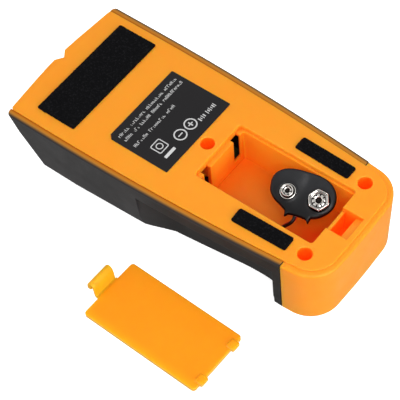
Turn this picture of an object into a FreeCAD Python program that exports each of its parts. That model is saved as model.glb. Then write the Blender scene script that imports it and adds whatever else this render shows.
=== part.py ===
import FreeCAD, Part
import os
import math
from FreeCAD import Vector

# Hand-held wall scanner (stud, metal and live-wire finder), lying on its key
# side with its back face up and its battery door taken off and laid beside it.
# Millimetres.  +X runs from the sensing head (-X) to the tail (+X), +Y is the
# right-hand side seen from the back, +Z is up.  The origin is on the flat
# front face, on the centreline, between the display and the keys.

os.makedirs("parts", exist_ok=True)

# ---------------------------------------------------------------- dimensions
H = 30.0                 # thickness, front face to back face
Z_RIM = 29.5             # top of the dark front shell's rim
Z_LEDGE = 29.3           # top of the orange back shell's ledge round the tail
Z_PART = 27.9            # parting plane between the two shells
WALL = 2.2               # shell wall
SEAT_GAP = 0.05          # clearance between the two shells
GAP = 0.02               # clearance between parts that rest on each other
SIDES = (1, -1)          # signs of y for what is repeated left and right

X_HEAD = -70.6           # corners of the head end, at the rim
X_HEAD_PART = -69.9      # corners of the back face's head end, at the parting plane
HEAD_BOW = 2.4           # the head end is bowed out by this much in the middle
HW_DECK = 30.1           # half width of the back face at the head
HW_OUT = 33.0            # half width over the rim at the head
HW_LOW = 31.2            # half width just above the lower chamfer
HW_FOOT = 27.45          # half width of the flat front face at the head
Z_CHAMFER = 4.8          # top of the lower chamfer
Z_SIDE = 29.0            # top of the drafted sides
X_ARC = -48.0            # the upper outline is parallel up to here, then curves in
K_OUT = 1 / 2242.0       # times the square of x measured from X_ARC
X_TAPER = -40.0          # the lower outline is parallel up to here, then tapers
K_LOW = 0.0376           # taper of the lower outline, mm per mm
X_SEAM = 55.0            # the dark shell's side walls end here
SEAM = 0.25              # open seam between the shells at the tail

BAY_X0, BAY_X1, BAY_HY = 8.2, 58.9, 13.3      # battery bay cavity, HY is half its width
REC_X0, REC_X1, REC_HY = 6.1, 59.15, 14.1     # recess for the door
REC_DEPTH = 2.0
BAY_FLOOR = 11.5
BAY_WALL = 1.4
POCKET_X0, POCKET_X1, POCKET_HY = 60.1, 65.0, 5.4     # latch pocket
POCKET_FLOOR = 18.0
SHELF_X1, SHELF_Z, SHELF_Z1 = 68.2, 27.3, 28.6        # ramp from the pocket to the tail
LEAD_HOLE_X, LEAD_HOLE_Y = 38.2, -10.6        # hole in the bay floor for the leads

# housing screws: x, y, bottom of the boss, seat of the head, tip of the screw,
# bottom of the hole in the front shell's post
SCREWS = [(1.35, 0.0, 14.05, 18.0, 4.5, 3.0),
          (59.6, 19.0, 6.05, 9.0, 1.6, 1.2),
          (59.6, -19.0, 6.05, 9.0, 1.6, 1.2)]
R_RECESS = 2.8           # screw recess
BOSS_R = 4.0

PCB_Z0, PCB_T = 7.0, 1.6
PCB_X0, PCB_X1, PCB_HY = -48.0, 49.0, 17.0
Z_PARTS = PCB_Z0 + PCB_T + GAP                # underside of what stands on the board
Z_HUNG = PCB_Z0 - GAP                         # top of what hangs below the board
PCB_POSTS = [(-45.2, 12.5), (-45.2, -12.5), (46.2, 14.0), (46.2, -14.0)]

SENSE_Z0, SENSE_T = 23.2, 1.2                 # sensing board in the head
SENSE_POSTS = [(-58.0, 18.0), (-58.0, -18.0), (-32.0, 23.5), (-32.0, -23.5)]
POST_R = 2.3
POST_HOLE_R = 1.0

BEZEL = (-46.0, -6.0, -20.0, 20.0)            # x0, x1, y0, y1 of the bezel recess
WINDOW = (-39.0, -11.0, -15.0, 15.0)          # x0, x1, y0, y1 of the display opening
LCD_X = -25.0
LED_X = -42.6
KEYS = [("metal_key", 12.0), ("stud_key", 26.0), ("live_wire_key", 40.0)]     # name, x
KEY_L, KEY_W = 20.0, 9.0                      # across the scanner, along it


def hw_out(x):
    return HW_OUT - max(0.0, x - X_ARC) ** 2 * K_OUT


def hw_side(x, z):
    """Half width of the dark shell: drafted sides over a wide lower chamfer."""
    low = max(0.0, x - X_TAPER) * K_LOW
    if z <= Z_CHAMFER:
        return HW_FOOT - low + (HW_LOW - HW_FOOT) * z / Z_CHAMFER
    rise = min(1.0, (z - Z_CHAMFER) / (Z_SIDE - Z_CHAMFER))
    return HW_LOW - low + (hw_out(x) - HW_LOW + low) * rise


# ------------------------------------------------------------------- helpers
def rounded_corner(before, corner, after, radius):
    """Start, middle and end of the arc that rounds a corner."""
    to_before = (before - corner).normalize()
    to_after = (after - corner).normalize()
    half = math.acos(max(-1, min(1, to_before.dot(to_after)))) / 2
    reach = radius / math.tan(half)
    bisector = (to_before + to_after).normalize()
    middle = corner + bisector * (radius / math.sin(half) - radius)
    return corner + to_before * reach, middle, corner + to_after * reach


def rounded_wire(corners, z):
    """Closed wire at height z through (x, y, radius) corners."""
    count = len(corners)
    points = [Vector(x, y, z) for x, y, _ in corners]
    arcs = []
    for i in range(count):
        radius = corners[i][2]
        if radius <= 0:
            arcs.append((points[i], None, points[i]))
        else:
            arcs.append(rounded_corner(points[i - 1], points[i], points[(i + 1) % count], radius))
    edges = []
    for i in range(count):
        start, middle, end = arcs[i]
        if middle is not None:
            edges.append(Part.Arc(start, middle, end).toShape())
        following = arcs[(i + 1) % count][0]
        if (following - end).Length > 1e-6:
            edges.append(Part.makeLine(end, following))
    return Part.Wire(edges)


def rounded_path(corners, z):
    """Edges of an open path through (x, y, radius) corners; its ends stay sharp."""
    points = [Vector(x, y, z) for x, y, _ in corners]
    edges = []
    last = points[0]
    for i in range(1, len(points) - 1):
        start, middle, end = rounded_corner(points[i - 1], points[i], points[i + 1], corners[i][2])
        edges.append(Part.makeLine(last, start))
        edges.append(Part.Arc(start, middle, end).toShape())
        last = end
    edges.append(Part.makeLine(last, points[-1]))
    return edges


def spline(points):
    curve = Part.BSplineCurve()
    curve.interpolate(points)
    return curve


def mirrored(half):
    """Full corner list from the +Y half, which is listed from the head to the tail."""
    return half + [(x, -y, r) for (x, y, r) in reversed(half) if abs(y) > 1e-9]


def prism(corners, z0, z1):
    return Part.Face(rounded_wire(corners, z0)).extrude(Vector(0, 0, z1 - z0))


def extruded_polygon(points, direction):
    return Part.Face(Part.makePolygon(points + [points[0]])).extrude(direction)


def loft(sections):
    """Ruled solid through [(corners, z), ...]."""
    return Part.makeLoft([rounded_wire(corners, z) for corners, z in sections], True, True)


def box(x0, x1, y0, y1, z0, z1):
    return Part.makeBox(x1 - x0, y1 - y0, z1 - z0, Vector(x0, y0, z0))


def side_box(x0, x1, side, y0, y1, z0, z1):
    """Box on one side of the centreline, y0 and y1 measured outwards."""
    low, high = sorted((side * y0, side * y1))
    return box(x0, x1, low, high, z0, z1)


def centred_box(x, y, length, width, z0, z1):
    """Box centred on (x, y), with its length along X."""
    return box(x - length / 2, x + length / 2, y - width / 2, y + width / 2, z0, z1)


def round_box(x0, x1, y0, y1, z0, z1, r):
    return prism([(x0, y0, r), (x0, y1, r), (x1, y1, r), (x1, y0, r)], z0, z1)


def inset_round_box(rect, inset, z0, z1, r):
    x0, x1, y0, y1 = rect
    return round_box(x0 + inset, x1 - inset, y0 + inset, y1 - inset, z0, z1, r)


def cylinder(x, y, r, z0, z1):
    return Part.makeCylinder(r, z1 - z0, Vector(x, y, z0))


def edges_at(shape, z, tolerance=1e-4):
    """Edges that lie flat at height z."""
    return [e for e in shape.Edges
            if abs(e.BoundBox.ZMin - z) < tolerance and abs(e.BoundBox.ZMax - z) < tolerance]


def fillet(shape, radius, edges):
    """Fillet the edges together, or keep the shape as it is."""
    if not edges:
        return shape
    # guards against a fillet the kernel cannot build: the edges then stay sharp
    try:
        rounded = shape.makeFillet(radius, edges)
        same_count = len(rounded.Solids) == len(shape.Solids)
        if rounded.isValid() and rounded.Volume > 0 and same_count:
            return rounded
    except Exception:
        pass
    return shape


def clean(shape):
    # guards against a shape whose faces cannot be merged: it is then left split
    try:
        merged = shape.removeSplitter()
        if merged.isValid():
            shape = merged
    except Exception:
        pass
    return shape


def one(shape):
    """Cleaned shape, unwrapped when it holds a single solid."""
    shape = clean(shape)
    if shape.ShapeType != "Solid" and len(shape.Solids) == 1:
        return shape.Solids[0]
    return shape


def save(name, shape):
    shape.exportStep("parts/%s.step" % name)


# ------------------------------------------------------------------ outlines
# corners as (x, y, rounding radius), head to tail; inset moves them inwards
def deck_outline(inset=0.0, x_head=X_HEAD):
    """Back face."""
    return mirrored([
        (x_head - HEAD_BOW + inset, 0, 150), (x_head + inset, HW_DECK - inset, 1.2),
        (5.0, HW_DECK - inset, 1220), (70.15 - inset, 24.44 - inset, 11.0 - inset),
        (70.5 - inset, 0, 250)])


def rim_outline(inset=0.0):
    """Largest outline, just below the back face."""
    return mirrored([
        (X_HEAD - HEAD_BOW + inset, 0, 150), (X_HEAD + inset, HW_OUT - inset, 1.5),
        (4.5, HW_OUT - inset, 1121), (72.05 - inset, 26.67 - inset, 12.7 - inset),
        (72.75 - inset, 0, 250)])


FOOT_OUTLINE = mirrored([       # at the front face; only its tail is kept
    (X_HEAD - HEAD_BOW, 0, 150), (X_HEAD, 29.6, 1.5), (4.5, 29.6, 2400),
    (71.3, 26.69, 12.95), (72.0, 0, 250)])


def deck_block(inset, z_bottom, z_top):
    """Back face block; at the head it leans out with the end wall and covers its edge."""
    return loft([(deck_outline(inset, X_HEAD_PART), z_bottom),
                 (deck_outline(inset), Z_LEDGE), (deck_outline(inset), z_top)])


def head_notch():
    """V-shaped marking notch in the middle of the head end."""
    return extruded_polygon([Vector(-75.5, -6.55, 12), Vector(-75.5, 8.35, 12),
                             Vector(-70.1, 0.9, 12)], Vector(0, 0, 24))


# =============================================================== back shell
def shell_block():
    """Orange tail wall, the back face and the locating lip."""
    body = loft([(FOOT_OUTLINE, 0.4), (rim_outline(), Z_LEDGE)])
    body = fillet(body, 1.0, edges_at(body, Z_LEDGE))
    body = fillet(body, 0.6, edges_at(body, 0.4))
    body = body.cut(box(-90, X_SEAM + SEAM, -50, 50, -1, H + 1))
    deck = deck_block(0.0, Z_PART, H)
    deck = fillet(deck, 0.35, edges_at(deck, H))
    body = body.cut(prism(rim_outline(WALL + 0.75), -1, Z_PART))
    # lip that drops inside the dark shell's walls
    lip = prism(rim_outline(4.0), 26.3, Z_PART).cut(prism(rim_outline(5.2), 26, 28))
    lip = lip.common(box(-60, X_SEAM - 3.0, -40, 40, 26, 28))
    return body.fuse(deck).fuse(lip)


def add_bay_walls(back):
    """Boxes round the bay, door recess and latch pocket, screw bosses and ribs."""
    z_top = Z_PART + 0.5
    bay_hy, rec_hy, pocket_hy = BAY_HY + BAY_WALL, REC_HY + 1.2, POCKET_HY + 1.3
    back = back.fuse(round_box(BAY_X0 - BAY_WALL - 0.9, BAY_X1 + BAY_WALL, -bay_hy, bay_hy,
                               BAY_FLOOR - BAY_WALL, z_top, 1.2))
    back = back.fuse(round_box(REC_X0 - 1.2, REC_X1 + 1.0, -rec_hy, rec_hy, 26.4, z_top, 1.5))
    back = back.fuse(round_box(BAY_X1, SHELF_X1 + 1.2, -pocket_hy, pocket_hy,
                               POCKET_FLOOR - 1.3, z_top, 1.0))
    for x, y, z_boss, _, _, _ in SCREWS:
        back = back.fuse(cylinder(x, y, BOSS_R, z_boss, z_top))
    # ribs outboard of the tail bosses
    for side in SIDES:
        back = back.fuse(side_box(58.9, 60.3, side, 22.4, 26.2, 8.0, Z_PART + 0.3))
    return back


def cut_bay(back):
    """Bay, door recess, latch pocket, ramp, tab slots and lead hole."""
    bay = round_box(BAY_X0, BAY_X1, -BAY_HY, BAY_HY, BAY_FLOOR, H + 1, 0.8)
    recess = round_box(REC_X0, REC_X1, -REC_HY, REC_HY, H - REC_DEPTH, H + 1, 1.2)
    land = box(REC_X1 - 1.5, POCKET_X1, -POCKET_HY, POCKET_HY, SHELF_Z, H + 1)
    pocket = box(POCKET_X0, POCKET_X1, -POCKET_HY, POCKET_HY, POCKET_FLOOR, H + 1)
    shelf_x0 = POCKET_X1 - 0.5
    shelf = extruded_polygon(
        [Vector(shelf_x0, -POCKET_HY, SHELF_Z), Vector(SHELF_X1, -POCKET_HY, SHELF_Z1),
         Vector(SHELF_X1, -POCKET_HY, H + 1), Vector(shelf_x0, -POCKET_HY, H + 1)],
        Vector(0, 2 * POCKET_HY, 0))
    back = back.cut(bay).cut(recess).cut(land).cut(pocket).cut(shelf)
    # slots for the door's tabs in the head-end wall of the bay
    z_slot = H - REC_DEPTH - 1.2
    slot_x1 = BAY_X0 + 0.6
    for side in SIDES:
        back = back.cut(side_box(4.0, slot_x1, side, 7.0, 11.1, 15.0, z_slot))
        # each slot opens up into the recess
        back = back.cut(side_box(REC_X0, slot_x1, side, 7.0, 11.1, 15.0, H - REC_DEPTH + 0.1))
        # round each slot the wall is thinned to a skin from outside the bay
        back = back.cut(side_box(4.0, BAY_X0 - 0.7, side, 6.3, 12.9, 12.3, z_slot))
    return back.cut(cylinder(LEAD_HOLE_X, LEAD_HOLE_Y, 2.1, 9, 12.5))


def is_opening_edge(edge):
    """Edge of an opening in the back face, not of its outline."""
    bounds = edge.BoundBox
    return (bounds.XMin > -3 and bounds.XMax < 68.3 and abs(bounds.YMin) < 22.2
            and abs(bounds.YMax) < 22.2 and bounds.XLength < 54)


def back_shell():
    back = cut_bay(add_bay_walls(shell_block()))
    for x, y, z_boss, z_seat, _, _ in SCREWS:
        back = back.cut(cylinder(x, y, R_RECESS, z_seat, H + 1))
        back = back.cut(cylinder(x, y, 1.55, z_boss - 1, z_seat + 0.1))
    back = clean(back.cut(head_notch()))
    return fillet(back, 0.4, [e for e in edges_at(back, H) if is_opening_edge(e)])


save("back_shell", one(back_shell()))

# ============================================================== front shell
X_STATIONS = [X_ARC, -44.0, -40.0, -36.0, -28.0, -18.0, -8.0, 4.0, 16.0, 28.0, 40.0, 48.0]

# z, height at which the side profile is read, inset from it, x of the head corners
OUTER_LEVELS = [
    (0.0, 0.0, 0.0, -54.0), (Z_CHAMFER, Z_CHAMFER, 0.0, -58.2), (20.7, 20.7, 0.0, -67.2),
    (Z_SIDE, Z_SIDE, 0.0, -70.35), (29.33, Z_SIDE, 0.16, -70.45), (Z_RIM, Z_SIDE, 0.5, -70.5)]
INNER_LEVELS = [
    (2.2, 0.0, 0.7, -53.2), (5.4, Z_CHAMFER, WALL, -56.2), (20.7, 20.7, WALL, -64.6),
    (24.5, 24.5, WALL + 0.2, -65.9), (27.0, 27.0, 3.6, -66.5),
    (Z_PART - SEAT_GAP, Z_SIDE, 3.75, -66.8)]

# hollow in each long side: x, distance from the centreline
WAIST = [
    (-8.9, 30.4), (-7.5, 29.9), (-5.5, 29.3), (-3.5, 28.6), (-1.6, 27.9), (0.3, 27.2),
    (2.2, 26.6), (4.1, 25.9), (6.4, 25.6), (10.9, 25.15), (15.3, 24.7), (19.7, 24.2),
    (24.1, 23.7), (28.5, 23.2), (32.8, 22.7), (37.2, 22.3), (44.5, 22.1), (48.8, 22.9),
    (51.0, 25.6), (51.6, 28.8)]


def shell_wire(z, z_side, inset, x_head, x_end):
    """Outline of the dark shell at height z, cut off square at x_end."""
    side = [(x, hw_side(x, z_side) - inset) for x in X_STATIONS + [x_end]]
    hw_head, hw_end = side[0][1], side[-1][1]
    head = rounded_path([(X_ARC, -hw_head, 0), (x_head, -hw_head, 1.5),
                         (x_head - HEAD_BOW, 0, 150), (x_head, hw_head, 1.5),
                         (X_ARC, hw_head, 0)], z)
    right = spline([Vector(x, y, z) for x, y in side])
    left = spline([Vector(x, -y, z) for x, y in reversed(side)])
    cross = Part.makeLine(Vector(x_end, hw_end, z), Vector(x_end, -hw_end, z))
    return Part.Wire(head + [right.toShape(), cross, left.toShape()])


def shell_loft(levels, x_end):
    return Part.makeLoft([shell_wire(*level, x_end) for level in levels], True, True)


def waist_wire(side, z, shift=0.0, stretch=0.0):
    """Waist outline, shifted inwards and with its ends stretched along X."""
    points = []
    for i, (x, y) in enumerate(WAIST):
        if i > len(WAIST) - 4:
            x += stretch
        elif i < 2:
            x -= stretch
        points.append(Vector(x, side * (y - shift), z))
    start, end = points[0], points[-1]
    y_far = side * 36.0
    far_end, far_start = Vector(end.x, y_far, z), Vector(start.x, y_far, z)
    return Part.Wire([spline(points).toShape(), Part.makeLine(end, far_end),
                      Part.makeLine(far_end, far_start), Part.makeLine(far_start, start)])


def waist_block(side, z_bottom, z_bend, z_top, foot_shift, shift, stretch):
    """Upright block with a sloping foot that reaches further in towards z_bottom."""
    bend = (side, z_bend, shift, stretch)
    top = Part.Face(waist_wire(*bend)).extrude(Vector(0, 0, z_top - z_bend))
    foot = [waist_wire(side, z_bottom, foot_shift, stretch), waist_wire(*bend)]
    return top.fuse(Part.makeLoft(foot, True, True))


def tail_plate():
    """Plate inside the orange tail wall, closing the front face."""
    return prism([(X_SEAM - 1.0, 24.0, 0), (X_SEAM + 2.5, 24.3, 0), (68.9, 23.9, 10.3),
                  (69.4, 0, 250), (68.9, -23.9, 10.3), (X_SEAM + 2.5, -24.3, 0),
                  (X_SEAM - 1.0, -24.0, 0)], 0.0, 2.2)


def add_posts(front, outer):
    """Posts for the housing screws and both boards, then their holes."""
    for x, y, z_boss, _, _, _ in SCREWS:
        front = front.fuse(cylinder(x, y, 3.4, 1.5, z_boss - 0.05))
    for x, y in PCB_POSTS:
        front = front.fuse(cylinder(x, y, POST_R, 1.5, PCB_Z0 - 0.01))
    for x, y in SENSE_POSTS:
        front = front.fuse(cylinder(x, y, POST_R, 1.0, SENSE_Z0 - 0.01).common(outer))
    for x, y, z_boss, _, _, z_hole in SCREWS:
        front = front.cut(cylinder(x, y, 1.3, z_hole, z_boss + 0.95))
    for x, y in PCB_POSTS:
        front = front.cut(cylinder(x, y, POST_HOLE_R, 2.6, 8))
    for x, y in SENSE_POSTS:
        front = front.cut(cylinder(x, y, POST_HOLE_R, SENSE_Z0 - 7, SENSE_Z0 + 1))
    return front


def key_block(x, grow, z0, z1, r):
    """Key outline at x, grown all round."""
    half_w, half_l = KEY_W / 2 + grow, KEY_L / 2 + grow
    return round_box(x - half_w, x + half_w, -half_l, half_l, z0, z1, r)


def front_shell():
    outer = shell_loft(OUTER_LEVELS, X_SEAM)
    inner = shell_loft(INNER_LEVELS, X_SEAM + 2)
    # the back shell's face sits inside the dark rim
    seat = deck_block(-SEAT_GAP, Z_PART - SEAT_GAP, H + 1)
    seat = seat.fuse(box(-80, X_HEAD + 1.0, -HW_DECK - SEAT_GAP, HW_DECK + SEAT_GAP,
                         Z_PART - SEAT_GAP, H + 1))
    for side in SIDES:
        inner = inner.cut(waist_block(side, 1.0, 6.2, 24.4, 6.0, 2.0, 2.0))
        outer = outer.cut(waist_block(side, -0.2, 4.6, 22.5, 3.4, 0.0, 0.0))
    front = outer.cut(inner).cut(seat)
    # ribs beside the seam, standing down to the front face; y, z of their section
    rib = [(22.5, 0.3), (26.9, 0.3), (27.4, 0.9), (27.6, 5.0), (22.5, 5.0)]
    rib_x = 51.7
    for side in SIDES:
        front = front.fuse(extruded_polygon([Vector(rib_x, side * y, z) for y, z in rib],
                                            Vector(X_SEAM - rib_x, 0, 0)))
    front = add_posts(front.fuse(tail_plate()), outer)
    # bezel recess, display opening, key holes and indicator hole
    front = front.cut(round_box(*BEZEL, -1, 0.9, 3.0))
    front = front.cut(round_box(*WINDOW, -1, 3, 1.5))
    for _, x in KEYS:
        front = front.cut(key_block(x, 0.2, -1, 3, 3.2))
    front = front.cut(cylinder(LED_X, 0, 1.6, -1, 3))
    front = clean(front.cut(head_notch()))
    return fillet(front, 0.8, edges_at(front, Z_CHAMFER, 0.02))


save("front_shell", one(front_shell()))


# ============================================ display, bezel and indicator
def display_bezel():
    z_face = 0.15
    bezel = inset_round_box(BEZEL, 0.15, z_face, 0.88, 2.85)
    bezel = bezel.cut(round_box(-36.5, -13.5, -13.0, 13.0, -1, 2, 1.2))
    bezel = bezel.cut(cylinder(LED_X, 0, 1.6, -1, 2))
    # the ends of the outline
    ends = [e for e in edges_at(bezel, z_face)
            if (e.BoundBox.XLength > 0 and e.BoundBox.XMin < -45) or e.BoundBox.XMax > -7]
    return fillet(bezel, 0.25, ends)


save("display_bezel", one(display_bezel()))
save("display_window", inset_round_box(WINDOW, 0.12, 0.9, 2.15, 1.4))

Z_LCD_TOP = 4.35
save("lcd_module", centred_box(LCD_X, 0, 25.2, 27.2, 2.35, Z_LCD_TOP))
lcd_frame = round_box(-40.4, -9.8, -16.4, 16.4, 2.24, Z_HUNG, 0.8)
save("lcd_frame", one(lcd_frame.cut(centred_box(LCD_X, 0, 25.6, 27.6, 1, 8))))
save("lcd_backlight", centred_box(LCD_X, 0, 24.0, 21.6, Z_LCD_TOP + 0.05, 6.5))
save("zebra_strips", Part.makeCompound(
    [side_box(LCD_X - 12, LCD_X + 12, side, 11.2, 13.5, Z_LCD_TOP + 0.05, Z_HUNG)
     for side in SIDES]))

light_pipe = cylinder(LED_X, 0, 1.5, 0.25, 3.2).fuse(cylinder(LED_X, 0, 2.1, 2.25, 3.2))
save("light_pipe", one(light_pipe))
status_led = centred_box(LED_X, 0, 3.2, 2.8, 5.2, Z_HUNG).fuse(cylinder(LED_X, 0, 1.0, 3.6, 5.3))
save("status_led", one(status_led))


# ========================================================== main board
def main_pcb():
    pcb = round_box(PCB_X0, PCB_X1, -PCB_HY, PCB_HY, PCB_Z0, PCB_Z0 + PCB_T, 1.5)
    holes = [(SCREWS[0][0], 0, 4.2)]        # x, y, radius
    holes += [(x, y, 1.2) for x, y in PCB_POSTS]
    holes += [(x, y, 2.8) for x, y in SENSE_POSTS]
    for x, y, r in holes:
        pcb = pcb.cut(cylinder(x, y, r, 6, 10))
    return pcb


def board_screw(x, y, z_tip, z_seat, head_h, z_slot):
    """Slotted screw; z_slot is the slot's floor above the seat."""
    screw = cylinder(x, y, 0.95, z_tip, z_seat + 0.5)
    screw = screw.fuse(cylinder(x, y, 1.9, z_seat, z_seat + head_h))
    return one(screw.cut(centred_box(x, y, 3.0, 0.4, z_seat + z_slot, z_seat + 2)))


def controller_chip():
    x_chip, half, leg_end = -29, 5, 6.2
    z_leg = Z_PARTS + 0.5
    chip = centred_box(x_chip, 0, 2 * half, 2 * half, Z_PARTS + 0.1, Z_PARTS + 1.6)
    for i in range(9):
        step = -4.0 + i
        y0, y1 = step - 0.2, step + 0.2
        x0, x1 = x_chip + step - 0.2, x_chip + step + 0.2
        chip = chip.fuse(box(x_chip - leg_end, x_chip - half, y0, y1, Z_PARTS, z_leg))
        chip = chip.fuse(box(x_chip + half, x_chip + leg_end, y0, y1, Z_PARTS, z_leg))
        chip = chip.fuse(box(x0, x1, -leg_end, -half, Z_PARTS, z_leg))
        chip = chip.fuse(box(x0, x1, half, leg_end, Z_PARTS, z_leg))
    return chip


def buzzer():
    x, y, z_top = -12.5, -11.0, Z_PARTS + 6.2
    shape = cylinder(x, y, 4.6, Z_PARTS, z_top)
    shape = shape.cut(cylinder(x, y, 0.9, Z_PARTS + 5.0, Z_PARTS + 7))
    # only the outer rim, not the sound hole
    return fillet(shape, 0.5, [e for e in edges_at(shape, z_top) if e.BoundBox.XLength > 5])


save("main_pcb", one(main_pcb()))
z_sense_seat = SENSE_Z0 + SENSE_T + GAP
save("board_screws", Part.makeCompound(
    [board_screw(x, y, 3.0, Z_PARTS, 1.3, 0.8) for x, y in PCB_POSTS]
    + [board_screw(x, y, z_sense_seat - 6, z_sense_seat, 1.1, 0.7) for x, y in SENSE_POSTS]))
save("controller_chip", one(controller_chip()))
save("amplifier_chip", centred_box(-17, 0, 5, 7, Z_PARTS, Z_PARTS + 1.4))

CAPACITORS = [(-8.5, 9.5, 2.5, 5.4), (-15.5, 9.5, 2.5, 5.4), (-20.5, 12.5, 2.0, 4.6)]  # x, y, r, h
save("capacitors", Part.makeCompound(
    [cylinder(x, y, r, Z_PARTS, Z_PARTS + height) for x, y, r, height in CAPACITORS]))

# height, then (x, y) of each resistor
RESISTORS = [
    (0.6, [(-38, 8), (-38, 11), (-31, 10), (-27, 10), (-32, -10), (-32, -13), (-21, -8),
           (-21, -11), (-40, -3), (-40, 3)]),
    (0.5, [(14, 8), (20, 8), (26, 8), (14, -8), (20, -8), (33, 9)])]
save("chip_resistors", Part.makeCompound(
    [centred_box(x, y, 2.0, 1.2, Z_PARTS, Z_PARTS + height)
     for height, places in RESISTORS for x, y in places]))
save("buzzer", one(buzzer()))
save("tact_switches", Part.makeCompound(
    [one(centred_box(x, 0, 6, 6, 4.0, Z_HUNG).fuse(cylinder(x, 0, 1.7, 3.55, 4.2)))
     for _, x in KEYS]))


# ============================================================== keys
def key(x):
    """Key cap with a flange behind the front wall."""
    cap = key_block(x, 0.0, 0.3, 2.4, 3.0)
    cap = fillet(cap, 0.5, edges_at(cap, 0.3))
    return cap.fuse(key_block(x, 1.0, 2.25, 2.95, 3.5))


for key_name, key_x in KEYS:
    save(key_name, one(key(key_x)))

# ===================================================== sensing head
COIL_X = -45.0
BOBBIN_Z0, BOBBIN_Z1, FLANGE_T = 16.2, 22.9, 1.0
BOBBIN_R, HUB_R = 12.5, 8.6
COIL_R, COIL_GAP = 11.8, 0.04
LINK_X = -26.6


def sensing_board():
    board = prism(mirrored([(-62.0, 24.0, 2), (-28.0, 26.0, 2)]), SENSE_Z0, SENSE_Z0 + SENSE_T)
    for x, y in SENSE_POSTS:
        board = board.cut(cylinder(x, y, 1.2, SENSE_Z0 - 1, SENSE_Z0 + 3))
    return board


def coil_bobbin():
    bobbin = cylinder(COIL_X, 0, BOBBIN_R, BOBBIN_Z0, BOBBIN_Z0 + FLANGE_T)
    bobbin = bobbin.fuse(cylinder(COIL_X, 0, BOBBIN_R, BOBBIN_Z1 - FLANGE_T, BOBBIN_Z1))
    bobbin = bobbin.fuse(cylinder(COIL_X, 0, HUB_R, BOBBIN_Z0, BOBBIN_Z1))
    return bobbin.cut(cylinder(COIL_X, 0, 7.2, 15, 24))


def detector_coil():
    coil = cylinder(COIL_X, 0, COIL_R, BOBBIN_Z0 + FLANGE_T + COIL_GAP,
                    BOBBIN_Z1 - FLANGE_T - COIL_GAP)
    coil = coil.cut(cylinder(COIL_X, 0, HUB_R + COIL_GAP, 16, 23))
    rims = [e for e in coil.Edges if abs(e.BoundBox.XLength - 2 * COIL_R) < 0.01]
    return fillet(coil, 0.5, rims)


def board_link_header():
    """Two strips joined by four pins, between the main and the sensing board."""
    header = centred_box(LINK_X, -15.5, 4, 10, Z_PARTS, Z_PARTS + 2.5)
    header = header.fuse(centred_box(LINK_X, -15.5, 4, 10, SENSE_Z0 - 2.6, SENSE_Z0 - GAP))
    for i in range(4):
        header = header.fuse(centred_box(LINK_X, -19.3 + i * 2.54, 0.64, 0.64,
                                         Z_PARTS + 1.0, SENSE_Z0 - 1.0))
    return header


save("sensing_board", one(sensing_board()))
z_foil = SENSE_Z0 + SENSE_T + GAP
save("sensing_plates", Part.makeCompound(
    [centred_box(COIL_X, y, 19, 14, z_foil, z_foil + 0.1) for y in (-15.5, 0, 15.5)]))
save("coil_bobbin", one(coil_bobbin()))
save("detector_coil", one(detector_coil()))
save("board_link_header", one(board_link_header()))


# ================================================================ screws
def housing_screw(x, y, z_seat, z_tip):
    """Cross-slotted screw with a slightly tapered head."""
    z = z_seat + GAP
    screw = cylinder(x, y, 1.22, z_tip, z + 0.4)
    screw = screw.fuse(Part.makeCone(2.55, 2.3, 1.9, Vector(x, y, z)))
    screw = screw.cut(centred_box(x, y, 3.4, 0.7, z + 0.9, z + 3))
    return one(screw.cut(centred_box(x, y, 0.7, 3.4, z + 0.9, z + 3)))


save("housing_screws", Part.makeCompound(
    [housing_screw(x, y, z_seat, z_tip) for x, y, _, z_seat, z_tip, _ in SCREWS]))

# ========================================================= pads and label
PAD_T = 0.9              # pad thickness, from the back face
save("head_pad", round_box(-62.3, -44.1, -24.3, 26.3, H + GAP, H + PAD_T, 0.5))

# name, side, length tailwards of its pivot, half width, y of the pivot
LONG_PADS = [("right_pad", 1, 12.3, 2.95, 19.75), ("left_pad", -1, 11.9, 3.15, -19.5)]
for pad_name, pad_side, pad_x1, pad_hw, pad_y in LONG_PADS:
    pad = round_box(-11.9, pad_x1, -pad_hw, pad_hw, H + GAP, H + PAD_T, 0.9)
    pad.rotate(Vector(0, 0, 0), Vector(0, 0, 1), -1.6 * pad_side)
    pad.translate(Vector(41.15, pad_y, 0))
    save(pad_name, pad)

LABEL = [(-31.0, -17.9, 0.2), (-31.0, 19.8, 0.5), (-2.7, 19.8, 0.5), (-2.7, -19.6, 0.5),
         (-29.3, -19.6, 0.2)]    # x, y, rounding; one corner is cut off
save("rating_label", prism(LABEL, H + GAP, H + 0.17))

# ===================================================== battery connector
# It hangs on its leads in the bay, its far edge leaning high on the bay wall.
# It is modelled lying flat, the middle of its top face at the origin.
SNAP_POS = (43.2, 3.15, 26.3)         # middle of its top face
SNAP_YAW, SNAP_TILT = 14.1, 22.0      # degrees
SNAP_T = 3.2
CONTACT_X = 6.18                      # contacts lie this far each side of the middle
CONTACT_Z = -0.58                     # underside of the contacts

# curved part of the outline: x, y
SNAP = [
    (-5.1, -7.0), (-7.5, -5.7), (-10.4, -4.1), (-12.6, -1.9), (-13.5, 0.8), (-13.7, 3.4),
    (-12.7, 6.0), (-9.9, 8.2), (-5.8, 9.2), (-1.3, 9.4), (3.3, 9.3), (6.8, 8.4), (9.8, 6.4),
    (11.6, 3.6), (12.1, 0.4), (11.1, -2.6), (9.0, -5.1), (6.9, -6.5), (5.3, -7.1)]
SNAP_NECK = [(4.9, -9.2), (3.4, -8.0), (-3.4, -8.0), (-4.7, -9.1)]     # straight part

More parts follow.
